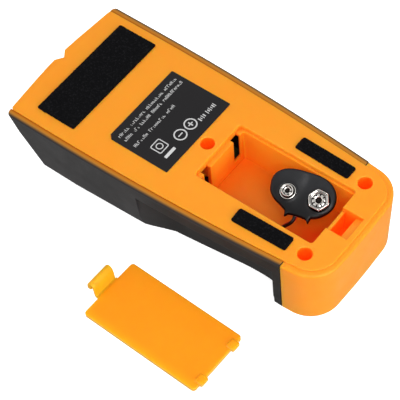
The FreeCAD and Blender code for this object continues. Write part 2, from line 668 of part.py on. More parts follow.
# contacts as turned profiles: radius, height above CONTACT_Z
STUD = [(0, 0), (3.0, 0), (3.0, 0.75), (2.55, 0.95), (2.35, 1.5), (2.75, 2.3), (2.7, 2.9),
        (2.3, 3.15), (1.6, 3.1), (1.35, 2.6), (0.0, 2.5)]
SOCKET = [(0, 0), (4.1, 0), (4.1, 0.8), (3.65, 0.95), (3.8, 2.6), (3.6, 2.95), (3.1, 2.95),
          (2.75, 2.5), (2.6, 0.8), (0, 0.7)]


def place_snap(shape):
    shape = shape.copy()
    shape.rotate(Vector(0, 0, 0), Vector(1, 0, 0), SNAP_TILT)
    shape.rotate(Vector(0, 0, 0), Vector(0, 0, 1), SNAP_YAW)
    shape.translate(Vector(*SNAP_POS))
    return shape


def snap_body():
    curved = [Vector(x, y, -SNAP_T) for x, y in SNAP]
    straight = [curved[-1]] + [Vector(x, y, -SNAP_T) for x, y in SNAP_NECK] + [curved[0]]
    edges = [spline(curved).toShape()]
    edges += [Part.makeLine(start, end) for start, end in zip(straight, straight[1:])]
    body = Part.Face(Part.Wire(edges)).extrude(Vector(0, 0, SNAP_T))
    # the long curved edges, top then bottom
    body = fillet(body, 0.9, [e for e in edges_at(body, 0.0) if e.Length > 20])
    body = fillet(body, 1.5, [e for e in edges_at(body, -SNAP_T) if e.Length > 20])
    for x, r in ((-CONTACT_X, 3.05), (CONTACT_X, 4.15)):
        body = body.cut(cylinder(x, 0, r, CONTACT_Z - GAP, 2))
    return body


def turned(profile, x):
    """Contact turned about the vertical through (x, 0)."""
    points = [Vector(x + r, 0, CONTACT_Z + height) for r, height in profile]
    face = Part.Face(Part.makePolygon(points + [points[0]]))
    return face.revolve(Vector(x, 0, 0), Vector(0, 0, 1), 360)


def snap_socket():
    socket = turned(SOCKET, CONTACT_X)
    for i in range(6):
        slot = box(2.3, 4.6, -0.28, 0.28, CONTACT_Z + 1.2, CONTACT_Z + 4)
        slot.rotate(Vector(0, 0, 0), Vector(0, 0, 1), 30 + 60 * i)
        slot.translate(Vector(CONTACT_X, 0, 0))
        socket = socket.cut(slot)
    return socket


save("snap_body", one(place_snap(snap_body())))
save("snap_stud", one(place_snap(turned(STUD, -CONTACT_X))))
save("snap_socket", one(place_snap(snap_socket())))


# two thin leads from the connector through the bay floor to the main board
def lead(points, r=0.65):
    curve = spline([Vector(*point) for point in points])
    direction = curve.tangent(curve.FirstParameter)[0]
    section = Part.Wire([Part.makeCircle(r, Vector(*points[0]), direction)])
    return Part.Wire([curve.toShape()]).makePipeShell([section], True, True)


def lead_drop(offset, z_start):
    """Last points of a lead, straight down beside the middle of the hole."""
    return [(LEAD_HOLE_X + offset, LEAD_HOLE_Y, z) for z in (z_start, 10.0, Z_PARTS + 0.12)]


# x, y, z from the connector down to the hole
BLACK = [(44.4, -4.9, 21.7), (44.05, -6.2, 20.7), (42.05, -7.3, 18.2), (40.1, -8.5, 15.7),
         (38.9, -9.6, 13.4)]
RED = [(x - 0.2, y + 1.35, z - 0.7) for x, y, z in BLACK[:4]] + [(37.45, -8.9, 13.1)]
save("lead_black", one(lead(BLACK + lead_drop(0.85, 11.4))))
save("lead_red", one(lead(RED + lead_drop(-0.85, 11.2))))

# ============================================================ battery door
# Modelled about its own middle, inner face up, then laid beside the scanner.
DOOR_L = REC_X1 - REC_X0 - 0.1
DOOR_W = 2 * REC_HY - 0.2
DOOR_T = REC_DEPTH
DOOR_POS = (24.5, -60.0)
DOOR_YAW = -1.7                       # degrees

# centreline of the latch's curved section: x, z
LATCH = [(-27.75, 1.2), (-27.93, 3.0), (-28.12, 4.9), (-28.45, 6.6), (-29.1, 7.65),
         (-29.85, 7.72), (-30.45, 6.8), (-30.6, 4.8)]
LATCH_HALF, CATCH_HALF = 0.6, 0.95    # half thickness, and at the catch
LATCH_Y0, LATCH_Y1 = -5.7, 5.1        # its two edges across the door
LATCH_STEPS = 24


def place_door(shape):
    shape = shape.copy()
    shape.rotate(Vector(0, 0, 0), Vector(0, 0, 1), DOOR_YAW)
    shape.translate(Vector(DOOR_POS[0], DOOR_POS[1], 0))
    return shape


def battery_door():
    half_l, half_w = DOOR_L / 2, DOOR_W / 2
    door = round_box(-half_l, half_l, -half_w, half_w, 0, DOOR_T, 1.4)
    door = fillet(door, 0.4, edges_at(door, 0.0))
    door = fillet(door, 0.3, edges_at(door, DOOR_T))
    # tongue at the latch end
    door = door.fuse(box(-half_l - 0.62, -half_l + 0.8, -5.4, 5.4, 0.6, 1.8))
    for side in SIDES:
        tab = box(half_l - 2.4, half_l + 1.5, side * 9.1 - 2.0, side * 9.1 + 2.0,
                  DOOR_T - 1.0, DOOR_T + 0.95)
        tab = fillet(tab, 0.85, [e for e in tab.Edges if e.BoundBox.ZMax > DOOR_T + 0.94
                                 or e.BoundBox.XMin > half_l + 1.4])
        door = door.fuse(tab)
    return door


def latch_half_thickness(fraction):
    """Half thickness at a fraction of the latch's length; it swells at the catch."""
    swell = max(0.0, min(1.0, (fraction - 0.72) / 0.2))
    return LATCH_HALF + (CATCH_HALF - LATCH_HALF) * swell * swell * (3 - 2 * swell)


def door_latch():
    centre = spline([Vector(x, LATCH_Y0, z) for x, z in LATCH])
    first, last = centre.FirstParameter, centre.LastParameter
    left, right = [], []
    for i in range(LATCH_STEPS + 1):
        t = first + (last - first) * i / LATCH_STEPS
        point = centre.value(t)
        along = centre.tangent(t)[0]
        offset = Vector(-along.z, 0, along.x) * latch_half_thickness(i / LATCH_STEPS)
        left.append(point + offset)
        right.append(point - offset)
    root = centre.value(first) - centre.tangent(first)[0] * LATCH_HALF
    tip = centre.value(last) + centre.tangent(last)[0] * CATCH_HALF
    edges = [spline(left).toShape(), Part.Arc(left[-1], tip, right[-1]).toShape(),
             spline(right).toShape(), Part.Arc(right[0], root, left[0]).toShape()]
    face = Part.Face(Part.Wire(Part.__sortEdges__(edges)))
    latch = one(face.extrude(Vector(0, LATCH_Y1 - LATCH_Y0, 0)))
    # the long edges of its two sides
    return fillet(latch, 0.3, [e for e in latch.Edges
                               if e.BoundBox.YLength < 0.01 and e.BoundBox.ZLength > 4])


save("battery_door", one(place_door(battery_door())))
save("door_latch", one(place_door(door_latch())))
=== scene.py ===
"""A hand-held wall detector lying face down with its battery door off.

The head points to -X and the tail, with the open battery bay, to +X. The display and the keys
face down (-Z). The loose battery door lies beside the housing on the near side (-Y).
Mesh points are in millimetres and are scaled as each mesh is made. Materials, blends, floor,
lights and camera are in metres.
"""
import math
import random

import bmesh
import bpy
from mathutils import Matrix, Vector, noise


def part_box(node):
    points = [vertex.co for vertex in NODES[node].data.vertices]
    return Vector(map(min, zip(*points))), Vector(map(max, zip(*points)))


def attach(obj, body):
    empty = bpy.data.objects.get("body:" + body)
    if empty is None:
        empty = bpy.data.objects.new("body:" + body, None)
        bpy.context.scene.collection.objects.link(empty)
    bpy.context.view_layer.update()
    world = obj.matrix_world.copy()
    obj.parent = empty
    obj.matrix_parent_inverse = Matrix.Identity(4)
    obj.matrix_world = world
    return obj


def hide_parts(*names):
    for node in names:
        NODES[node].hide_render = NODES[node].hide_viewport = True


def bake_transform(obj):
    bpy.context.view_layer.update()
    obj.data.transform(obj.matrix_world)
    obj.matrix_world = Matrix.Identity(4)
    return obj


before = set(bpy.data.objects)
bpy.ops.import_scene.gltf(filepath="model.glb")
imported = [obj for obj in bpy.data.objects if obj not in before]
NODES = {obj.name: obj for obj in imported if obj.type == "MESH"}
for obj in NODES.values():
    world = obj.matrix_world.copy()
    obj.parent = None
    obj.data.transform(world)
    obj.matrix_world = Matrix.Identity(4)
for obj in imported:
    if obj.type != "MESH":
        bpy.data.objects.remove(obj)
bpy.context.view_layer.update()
MM = 0.001
random.seed(7)
noise.seed_set(11)
scene = bpy.context.scene
scene.view_settings.view_transform = "Standard"
scene.view_settings.look = "None"

# The loose door's own frame, shared by the latch and the door's colouring.
DOOR_X, DOOR_Y = 24.5, -60.0
DOOR_TURN = math.radians(-1.7)

# Quarter arcs of a rounded rectangle: x sign, y sign, start angle in degrees.
CORNERS = ((1, 1, 0), (-1, 1, 90), (-1, -1, 180), (1, -1, 270))


# ---------------------------------------------------------------- mesh helpers
def new_mesh(name, verts, faces, smooth=True):
    """Makes an object from points in millimetres."""
    mesh = bpy.data.meshes.new(name)
    mesh.from_pydata([tuple(c * MM for c in v) for v in verts], [], faces)
    mesh.validate()
    bm = bmesh.new()
    bm.from_mesh(mesh)
    bmesh.ops.remove_doubles(bm, verts=bm.verts, dist=1e-8)
    bmesh.ops.recalc_face_normals(bm, faces=bm.faces)
    bm.to_mesh(mesh)
    bm.free()
    for polygon in mesh.polygons:
        polygon.use_smooth = smooth
    ob = bpy.data.objects.new(name, mesh)
    scene.collection.objects.link(ob)
    return ob


def finish_piece(ob, material, body=None, replaces=None):
    ob.data.materials.append(material)
    if body:
        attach(ob, body)
    if replaces:
        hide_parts(replaces)


def catmull(points, steps):
    """An open Catmull-Rom curve through the points, with steps samples to each span."""
    curve = []
    last = len(points) - 1
    for i in range(last):
        p0, p1, p2, p3 = (Vector(points[min(max(j, 0), last)]) for j in range(i - 1, i + 3))
        for k in range(steps):
            t = k / steps
            curve.append(0.5 * ((2 * p1) + (p2 - p0) * t + (2 * p0 - 5 * p1 + 4 * p2 - p3) * t * t
                                + (3 * p1 - p0 - 3 * p2 + p3) * t ** 3))
    curve.append(Vector(points[-1]))
    return curve


def direction_at(path, i):
    return (path[min(i + 1, len(path) - 1)] - path[max(i - 1, 0)]).normalized()


def rings(name, rows):
    """A capped skin through closed rows of points, all of the same length."""
    n = len(rows[0])
    verts = [p for row in rows for p in row]
    faces = []
    for i in range(len(rows) - 1):
        for k in range(n):
            a, b = i * n + k, i * n + (k + 1) % n
            faces.append((a, b, b + n, a + n))
    faces.append(tuple(range(n)))
    faces.append(tuple(range((len(rows) - 1) * n, len(rows) * n)))
    return new_mesh(name, verts, faces)


def tube(name, points, radius, sides, steps):
    """A round tube along a smooth curve, its section carried along without twist."""
    path = catmull(points, steps)
    rows = []
    side = None
    for i, p in enumerate(path):
        along = direction_at(path, i)
        if side is None:
            side = along.cross(Vector((0, 0, 1))).normalized()
        else:
            side = (side - along * side.dot(along)).normalized()
        across = along.cross(side)
        angles = [2 * math.pi * k / sides for k in range(sides)]
        rows.append([p + side * (radius * math.cos(a)) + across * (radius * math.sin(a))
                     for a in angles])
    return rings(name, rows)


def round_rect(cx, cy, width, height, radius, segments=5):
    points = []
    for sx, sy, start in CORNERS:
        for k in range(segments + 1):
            a = math.radians(start + 90 * k / segments)
            points.append((cx + sx * (width / 2 - radius) + radius * math.cos(a),
                           cy + sy * (height / 2 - radius) + radius * math.sin(a)))
    return points


def circle(cx, cy, radius, n=28):
    angles = [2 * math.pi * k / n for k in range(n)]
    return [(cx + radius * math.cos(a), cy + radius * math.sin(a)) for a in angles]


class Marks:
    """Thin flat marks between the heights low and high, gathered into one mesh."""

    def __init__(self, low, high):
        self.low, self.high = low, high
        self.verts, self.faces = [], []

    def prism(self, outline):
        o, n = len(self.verts), len(outline)
        self.verts += [(x, y, z) for z in (self.low, self.high) for x, y in outline]
        self.faces.append(tuple(range(o + n - 1, o - 1, -1)))
        self.faces.append(tuple(range(o + n, o + 2 * n)))
        for k in range(n):
            a, b = o + k, o + (k + 1) % n
            self.faces.append((a, b, b + n, a + n))

    def bar(self, x0, x1, y0, y1):
        self.prism([(x1, y1), (x0, y1), (x0, y0), (x1, y0)])

    def ring(self, outer, inner):
        """A flat ring between two outlines with the same number of points."""
        n = len(outer)
        out_low = len(self.verts)
        in_low, out_high, in_high = out_low + n, out_low + 2 * n, out_low + 3 * n
        for z in (self.low, self.high):
            self.verts += [(x, y, z) for x, y in outer + inner]
        for k in range(n):
            j = (k + 1) % n
            self.faces += [
                (out_high + k, out_high + j, in_high + j, in_high + k),
                (out_low + k, in_low + k, in_low + j, out_low + j),
                (out_low + k, out_low + j, out_high + j, out_high + k),
                (in_low + k, in_high + k, in_high + j, in_low + j)]

    def build(self, name, material, slot, body):
        ob = new_mesh(name, self.verts, self.faces, smooth=False)
        finish_piece(ob, material, body)


# ---------------------------------------------------------------- shader helpers
class NodeBuilder:
    """Adds shader nodes to a tree and returns their output sockets."""

    def __init__(self, tree):
        self.tree = tree

    def feed(self, value, socket):
        """Links value into the socket if it is an output, or else sets it as a plain value."""
        if isinstance(value, bpy.types.NodeSocket):
            self.tree.links.new(value, socket)
            return
        if isinstance(value, tuple) and len(value) == 3 and socket.type == "RGBA":
            value = (*value, 1)
        socket.default_value = value

    def add(self, kind, inputs=None, **properties):
        node = self.tree.nodes.new(kind)
        for key, value in properties.items():
            setattr(node, key, value)
        for key, value in (inputs or {}).items():
            self.feed(value, node.inputs[key])
        return node

    def xyz(self, vector):
        return self.add("ShaderNodeSeparateXYZ", {0: vector}).outputs

    def ramp(self, value, stops):
        """A colour ramp; each stop is (position, colour)."""
        node = self.add("ShaderNodeValToRGB", {"Fac": value})
        elements = node.color_ramp.elements
        while len(elements) < len(stops):
            elements.new(0.5)
        for element, (position, colour) in zip(elements, stops):
            element.position = position
            element.color = (*colour, 1)
        return node.outputs["Color"]

    def remap(self, value, over, to):
        """Maps the range over onto the range to, clamped."""
        return self.add("ShaderNodeMapRange", dict(enumerate((value, *over, *to)))).outputs[0]

    def fade_in(self, value, over):
        return self.remap(value, over, to=(0.0, 1.0))

    def fade_out(self, value, over):
        return self.remap(value, over, to=(1.0, 0.0))

    def spread(self, pattern, to=(0.0, 1.0)):
        """Stretches the middle of a noise pattern onto the range to."""
        return self.remap(pattern, over=(0.3, 0.7), to=to)

    def calc(self, operation, a, b=0.0):
        return self.add("ShaderNodeMath", {0: a, 1: b}, operation=operation).outputs[0]

    def mul(self, a, b):
        return self.calc("MULTIPLY", a, b)


class Material(NodeBuilder):
    """A node material with a Principled shader."""

    def __init__(self, name):
        self.mat = bpy.data.materials.new(name)
        self.mat.use_nodes = True
        super().__init__(self.mat.node_tree)
        self.shader = self.tree.nodes["Principled BSDF"]
        self.coord = self.add("ShaderNodeTexCoord").outputs["Object"]

    def set(self, **values):
        """Feeds inputs of the Principled shader; underscores stand for spaces."""
        for key, value in values.items():
            self.feed(value, self.shader.inputs[key.replace("_", " ")])

    def noise(self, scale, detail=3.0, rough=0.5, distortion=0.0, vector=None):
        return self.add("ShaderNodeTexNoise", {
            "Scale": scale, "Detail": detail, "Roughness": rough, "Distortion": distortion,
            "Vector": self.coord if vector is None else vector}).outputs["Fac"]

    def mix(self, factor, a, b):
        return self.add("ShaderNodeMix", {0: factor, 6: a, 7: b}, data_type="RGBA").outputs[2]

    def mottle(self, pattern, a, b):
        return self.mix(self.spread(pattern), a, b)

    def bump(self, height, strength, distance, normal=None):
        inputs = {"Strength": strength, "Distance": distance, "Height": height}
        if normal is not None:
            inputs["Normal"] = normal
        return self.add("ShaderNodeBump", inputs).outputs["Normal"]

    def bevel(self, radius):
        return self.add("ShaderNodeBevel", {"Radius": radius}, samples=6).outputs[0]

    def occlusion(self, distance, **options):
        node = self.add("ShaderNodeAmbientOcclusion", {"Distance": distance}, samples=8, **options)
        return node.outputs["AO"]

    def dot(self, a, b):
        node = self.add("ShaderNodeVectorMath", {0: a, 1: b}, operation="DOT_PRODUCT")
        return node.outputs["Value"]

    def geometry(self, output):
        return self.add("ShaderNodeNewGeometry").outputs[output]

    def position_and_normal(self):
        outputs = self.add("ShaderNodeNewGeometry").outputs
        return self.xyz(outputs["Position"]), self.xyz(outputs["Normal"])

    def edge(self, radius, amount):
        """0 on flats, up to amount on convex and concave edges."""
        rounded = self.bevel(radius)
        facing = self.dot(rounded, self.geometry("Normal"))
        bend = self.calc("SUBTRACT", 1.0, facing)
        return self.mul(self.fade_in(bend, over=(0.0, 0.4)), amount)


# ---------------------------------------------------------------- plastics
def paint_light_on_thin_door(m, colour):
    """Painted light on the thin door: paler along the near long edge and the short ends, where light
    comes through, and a lighter colour on its sides by their facing.
    """
    turn_cos, turn_sin = 0.99956, -0.029666  # of DOOR_TURN
    pale, painted_lit_side_colour = (1.0, 0.50, 0.008), (0.84, 0.45, 0.10)
    position, normal = m.position_and_normal()
    dx = m.calc("SUBTRACT", position[0], DOOR_X * MM)
    dy = m.calc("SUBTRACT", position[1], DOOR_Y * MM)
    along = m.calc("ADD", m.mul(dx, turn_cos), m.mul(dy, turn_sin))
    across = m.calc("SUBTRACT", m.mul(dy, turn_cos), m.mul(dx, turn_sin))
    near = m.calc("POWER", m.fade_out(across, over=(-0.0140, -0.0096)), 2.0)
    tail = m.calc("POWER", m.fade_in(along, over=(0.0243, 0.0265)), 2.0)
    head = m.mul(m.calc("POWER", m.fade_in(along, over=(-0.0243, -0.0265)), 2.0),
                 m.fade_in(across, over=(0.002, -0.008)))
    tail_share, glow_band_strength = 0.6, 0.62
    band = m.calc("MAXIMUM", near, m.calc("MAXIMUM", m.mul(tail, tail_share), head))
    # painted light: paler bands along the near long edge and the short ends
    colour = m.mix(m.mul(band, glow_band_strength), colour, pale)
    # painted light: the door's sides get a lighter colour because of the way they face
    return m.mix(m.remap(normal[2], over=(0.75, 0.2), to=(0.0, 0.7)), colour, painted_lit_side_colour)


def paint_battery_bay_shade_and_glow(m, colour):
    """Paints shade inside the battery bay as a deeper orange, with a painted shadow in its low near
    corner, and a painted glow.
    """
    # colours of the painted shade: in the bay, on its floor and in its near corner
    deep, painted_floor_shade, painted_corner_shadow = (0.80, 0.125, 0.0008), (0.55, 0.105, 0.004), (0.80, 0.030, 0.0008)
    # painted shade: deeper orange where the bay's own walls hide the sky
    inner = m.fade_out(m.occlusion(0.026, only_local=True), over=(0.20, 0.80))
    x, y, z = m.xyz(m.geometry("Position"))
    # painted shadow in the low near corner at the tail end, under the snap
    corner = m.mul(m.fade_in(x, over=(0.034, 0.054)), m.fade_in(z, over=(0.0245, 0.0175)))
    corner = m.mul(corner, m.mul(m.fade_out(x, over=(0.0592, 0.0594)),
                                 m.fade_out(m.calc("ABSOLUTE", y), over=(0.0136, 0.0142))))
    corner = m.mul(corner, m.fade_in(y, over=(0.0085, -0.0005)))
    # painted light: the far long wall catches more light than the rest, so it gets less painted shade and
    # more painted glow
    far = m.mul(m.fade_in(y, over=(0.0128, 0.0131)), m.fade_out(y, over=(0.0142, 0.0144)))
    far = m.mul(far, m.mul(m.fade_in(z, over=(0.0288, 0.0278)),
                           m.fade_in(x, over=(0.0075, 0.0085))))
    far = m.mul(far, m.fade_out(x, over=(0.0590, 0.0594)))
    inner = m.mul(inner, m.remap(far, over=(0.0, 1.0), to=(1.0, 0.55)))
    corner_shadow_depth, depth_power = 0.86, 1.6
    inner = m.calc("MAXIMUM", inner, m.mul(corner, corner_shadow_depth))
    colour = m.mix(m.calc("POWER", inner, depth_power), colour, deep)
    # painted shade: the floor of the bay is a little darker than its walls
    floor = m.mul(m.fade_in(z, over=(0.0121, 0.0118)), m.fade_in(z, over=(0.0110, 0.0113)))
    floor = m.mul(floor, m.mul(m.fade_out(x, over=(0.0592, 0.0594)),
                               m.fade_in(x, over=(0.0078, 0.0080))))
    floor = m.mul(floor, m.fade_out(m.calc("ABSOLUTE", y), over=(0.0134, 0.0137)))
    floor_shade_strength, corner_shadow_strength = 0.38, 0.85
    colour = m.mix(m.mul(floor, floor_shade_strength), colour, painted_floor_shade)
    colour = m.mix(m.mul(corner, corner_shadow_strength), colour, painted_corner_shadow)
    # painted glow: the bay glows deeper in, on its far wall and in its near corner, though it is no lamp
    painted_glow_power, painted_inner_glow, painted_far_glow, painted_corner_glow = 4.0, 0.30, 0.13, 0.06
    glow = m.calc("ADD", m.mul(m.calc("POWER", inner, painted_glow_power), painted_inner_glow),
                  m.calc("ADD", m.mul(far, painted_far_glow), m.mul(corner, painted_corner_glow)))
    m.set(Emission_Color=(0.95, 0.055, 0.001), Emission_Strength=glow)
    return colour


# Painted highlight, reflection and shade across the rim: a dark outer line where the rim turns away, a
# tan highlight across its middle, then a darker line and the orange deck's reflection next to the deck;
# positions are shares of RIM_WIDTH_MM in from its outer edge.
RIM_WIDTH_MM = 3.0
RIM_PAINTED_TONES = [
    (0.10, (0.040, 0.030, 0.024)), (0.26, (0.20, 0.095, 0.028)), (0.45, (0.44, 0.180, 0.026)),
    (0.70, (0.47, 0.165, 0.012)), (0.85, (0.36, 0.085, 0.006)), (0.97, (0.60, 0.19, 0.010))]


def paint_rim_light_and_grip_shade(m, colour):
    """Paints highlight, reflection and shade in bands on the upward rim of the dark shell, and painted
    shade on the sides at the grip; returns the rim mask.
    """
    half_width_mm, curve_start, curve = 33.0, 0.048, 1e6 / 2242.0
    painted_grip_shade, grip_shade_strength = (0.0045, 0.0036, 0.0032), 0.85
    (x, y, z), normal = m.position_and_normal()
    rim = m.mul(m.fade_in(z, over=(0.02895, 0.02925)), m.fade_in(normal[2], over=(0.45, 0.9)))
    # distance in millimetres from the rim's outer edge, which curves in towards the tail
    past_start = m.calc("MAXIMUM", m.calc("ADD", x, curve_start), 0.0)
    edge_y = m.calc("SUBTRACT", half_width_mm, m.mul(m.mul(past_start, past_start), curve))
    distance = m.calc("SUBTRACT", edge_y, m.mul(m.calc("ABSOLUTE", y), 1000.0))
    # painted highlight, reflection and shade across the rim
    painted_rim_tone = m.ramp(m.mul(distance, 1 / RIM_WIDTH_MM), RIM_PAINTED_TONES)
    colour = m.mix(rim, colour, painted_rim_tone)
    # painted shade: the sides at the grip are darker
    grip = m.mul(m.fade_in(x, over=(-0.010, 0.006)), m.fade_out(z, over=(0.0275, 0.0292)))
    return m.mix(m.mul(grip, grip_shade_strength), colour, painted_grip_shade), rim


def moulded(name, main, second, rough=0.42, grain=2600, grain_depth=0.00002, edge_highlight_and_wear_colour=None,
            edge_radius=0.00035, edge_amount=0.5, scatter=0.0, specular=0.5, soften=0.0,
            tint=None, rim=False):
    """Moulded plastic: two mottled colours, fine grain and lighter edges, a painted highlight and wear.

    soften is the radius of the rounded look of its edges; tint paints light and shade onto parts of the
    piece.
    """
    m = Material(name)
    blotches = m.noise(28, detail=3, rough=0.55)
    fine = m.noise(grain, detail=2, rough=0.6)
    middle = m.noise(grain * 0.28, detail=3, rough=0.6)
    colour = m.mottle(blotches, main, second)
    specks = m.remap(fine, over=(0.62, 0.8), to=(0.0, 0.18))
    colour = m.mix(specks, colour, tuple(c * 0.8 for c in second))
    # painted highlight and wear: lighter edges
    if edge_highlight_and_wear_colour:
        colour = m.mix(m.edge(edge_radius, edge_amount), colour, edge_highlight_and_wear_colour)
    if tint:
        colour = tint(m, colour)
    if rim:
        colour, rim_mask = paint_rim_light_and_grip_shade(m, colour)
    patches = m.noise(grain * 0.05, detail=3, rough=0.6)
    roughness = m.spread(patches, to=(rough - 0.05, rough + 0.07))
    normal = m.bevel(soften) if soften else None
    normal = m.bump(fine, strength=0.35, distance=grain_depth, normal=normal)
    normal = m.bump(middle, strength=0.25, distance=grain_depth * 1.5, normal=normal)
    m.set(Base_Color=colour, Roughness=roughness, Normal=normal, Specular_IOR_Level=specular)
    if rim:
        m.set(Specular_IOR_Level=m.remap(rim_mask, over=(0.0, 1.0), to=(specular, 0.06)))
    if scatter:
        m.set(Subsurface_Weight=scatter, Subsurface_Radius=(0.0040, 0.0014, 0.0003),
              Subsurface_Scale=1.0)
    return m.mat


ORANGE = moulded(
    "orange_abs", (0.985, 0.322, 0.017), (0.972, 0.308, 0.014), edge_highlight_and_wear_colour=(1.0, 0.40, 0.03),
    edge_amount=0.35, scatter=0.7, specular=0.22, soften=0.00022, tint=paint_battery_bay_shade_and_glow)
ORANGE_THIN = moulded(
    "orange_abs_thin", (0.985, 0.322, 0.006), (0.972, 0.310, 0.005), edge_highlight_and_wear_colour=(1.0, 0.46, 0.01),
    edge_amount=0.6, edge_radius=0.0009, scatter=0.7, specular=0.16, soften=0.00022,
    tint=paint_light_on_thin_door)
# painted light: a paler, lit copy of the orange for the raised spring latch
ORANGE_LIT_SPRING = moulded(
    "orange_abs_lit_spring", (0.90, 0.435, 0.013), (0.885, 0.415, 0.011), edge_highlight_and_wear_colour=(1.0, 0.52, 0.02),
    edge_amount=0.4, scatter=0.7, specular=0.2, soften=0.0002)
DARK = moulded(
    "dark_abs", (0.0262, 0.0248, 0.0258), (0.0228, 0.0216, 0.0225), rough=0.5, grain=2100,
    grain_depth=0.00003, edge_highlight_and_wear_colour=(0.045, 0.044, 0.047), edge_amount=0.35, specular=0.25,
    soften=0.0003, rim=True)
BLACK_GLOSS = moulded(
    "bezel_gloss", (0.012, 0.012, 0.014), (0.009, 0.009, 0.011), rough=0.12, grain=500,
    grain_depth=0.000004, edge_highlight_and_wear_colour=(0.05, 0.05, 0.055))
WHITE = moulded("white_plastic", (0.80, 0.79, 0.75), (0.74, 0.73, 0.69), rough=0.45,
                edge_highlight_and_wear_colour=(0.9, 0.9, 0.88))
CHIP = moulded("ic_epoxy", (0.022, 0.022, 0.023), (0.016, 0.016, 0.017), rough=0.55, grain=5200,
               grain_depth=0.00001, edge_highlight_and_wear_colour=(0.05, 0.05, 0.05))
GREY = moulded("component_grey", (0.10, 0.105, 0.12), (0.07, 0.075, 0.085), rough=0.38, grain=3500,
               grain_depth=0.00001, edge_highlight_and_wear_colour=(0.2, 0.2, 0.22))
KEY_RUBBER = moulded("key_rubber", (0.90, 0.25, 0.02), (0.84, 0.21, 0.015), rough=0.6, grain=3200,
                     grain_depth=0.00003, edge_highlight_and_wear_colour=(1.0, 0.36, 0.05))
LABEL = moulded(
    "label_film", (0.0125, 0.0115, 0.0125), (0.0105, 0.0098, 0.0108), rough=0.5, grain=900,
    grain_depth=0.000006, edge_highlight_and_wear_colour=(0.02, 0.02, 0.022), edge_radius=0.0001, specular=0.2)
PRINT = moulded("label_print", (0.62, 0.62, 0.62), (0.50, 0.50, 0.50), rough=0.5, grain=3000,
                grain_depth=0.000004)
RED_LENS = moulded("red_diffuser", (0.70, 0.03, 0.02), (0.62, 0.02, 0.015), rough=0.18, grain=700,
                   grain_depth=0.000005, scatter=0.3)
ELASTOMER = moulded("zebra_elastomer", (0.42, 0.16, 0.13), (0.34, 0.12, 0.10), rough=0.6)


# ---------------------------------------------------------------- vinyl
def shade_snap_skirt(m, colour):
    """Paints shade on the skirt and on the low near half of the snap: darker and duller than its top
    skin.
    """
    top_direction = (0.0914, -0.363, 0.927)
    outputs = m.add("ShaderNodeNewGeometry").outputs
    facing = m.dot(outputs["Normal"], top_direction)
    y = m.xyz(outputs["Position"])[1]
    skirt = m.fade_out(facing, over=(0.60, 0.97))
    low = m.remap(y, over=(0.0065, -0.0035), to=(0.0, 0.75))
    shade = m.calc("MAXIMUM", skirt, low)
    colour = m.mix(shade, colour, (0.0016, 0.0013, 0.0014))
    m.set(Specular_IOR_Level=m.remap(shade, over=(0.0, 1.0), to=(0.36, 0.10)))
    m.set(Coat_Weight=m.remap(shade, over=(0.0, 1.0), to=(0.12, 0.02)))
    return colour


def vinyl(name, main, second, rough, gloss=1.0, tint=None):
    m = Material(name)
    blotches = m.noise(160, detail=3, rough=0.55)
    fine = m.noise(1500, detail=3, rough=0.6)
    colour = m.mottle(blotches, main, second)
    # painted highlight: edges twice as light as the main colour
    colour = m.mix(m.edge(radius=0.0003, amount=0.35), colour, tuple(c * 2.0 for c in main))
    m.set(Roughness=m.spread(m.noise(420, detail=3, rough=0.6), to=(rough - 0.04, rough + 0.1)),
          Normal=m.bump(m.noise(420, detail=4, rough=0.55), strength=0.25, distance=0.00008,
                        normal=m.bump(fine, strength=0.2, distance=0.00002)),
          Coat_Weight=0.12 * gloss, Coat_Roughness=0.25, Specular_IOR_Level=0.4 * gloss)
    if tint:
        colour = tint(m, colour)
    m.set(Base_Color=colour)
    return m.mat


SNAP_VINYL = vinyl("snap_vinyl", (0.0090, 0.0095, 0.0120), (0.0068, 0.0070, 0.0088), rough=0.36,
                   tint=shade_snap_skirt)
LEAD_BLACK = vinyl("lead_vinyl_black", (0.007, 0.0055, 0.005), (0.005, 0.0040, 0.0036),
                   rough=0.36, gloss=0.4)
LEAD_RED = vinyl("lead_vinyl_red", (0.52, 0.015, 0.012), (0.44, 0.010, 0.010), rough=0.3)


# ---------------------------------------------------------------- metals
def metal(name, main, second, rough, scale=900):
    """Metal with painted highlights on its edges and painted shade in its crevices."""
    m = Material(name)
    blotches = m.noise(scale * 0.2, detail=4, rough=0.6)
    fine = m.noise(scale * 6, detail=3, rough=0.6)
    colour = m.mottle(blotches, main, second)
    bright = tuple(min(1, c * 1.25) for c in main)
    # painted highlight: lighter edges
    colour = m.mix(m.edge(radius=0.00015, amount=0.4), colour, bright)
    # painted shade: crevices darkened by ambient occlusion
    crevices = m.remap(m.occlusion(0.0016), over=(0.25, 0.85), to=(0.92, 0.0))
    colour = m.mix(crevices, colour, (0.012, 0.010, 0.009))
    patches = m.noise(scale, detail=3, rough=0.6)
    m.set(Base_Color=colour, Metallic=1.0, Roughness=m.spread(patches, to=(rough * 0.8, rough * 1.3)),
          Normal=m.bump(fine, strength=0.12, distance=0.000005))
    return m.mat


NICKEL = metal("nickel", (0.80, 0.77, 0.73), (0.70, 0.67, 0.63), rough=0.16)
ZINC = metal("zinc_screw", (0.62, 0.63, 0.64), (0.50, 0.51, 0.53), rough=0.3, scale=1400)
COPPER = metal("copper_foil", (0.86, 0.44, 0.27), (0.78, 0.36, 0.2), rough=0.25)


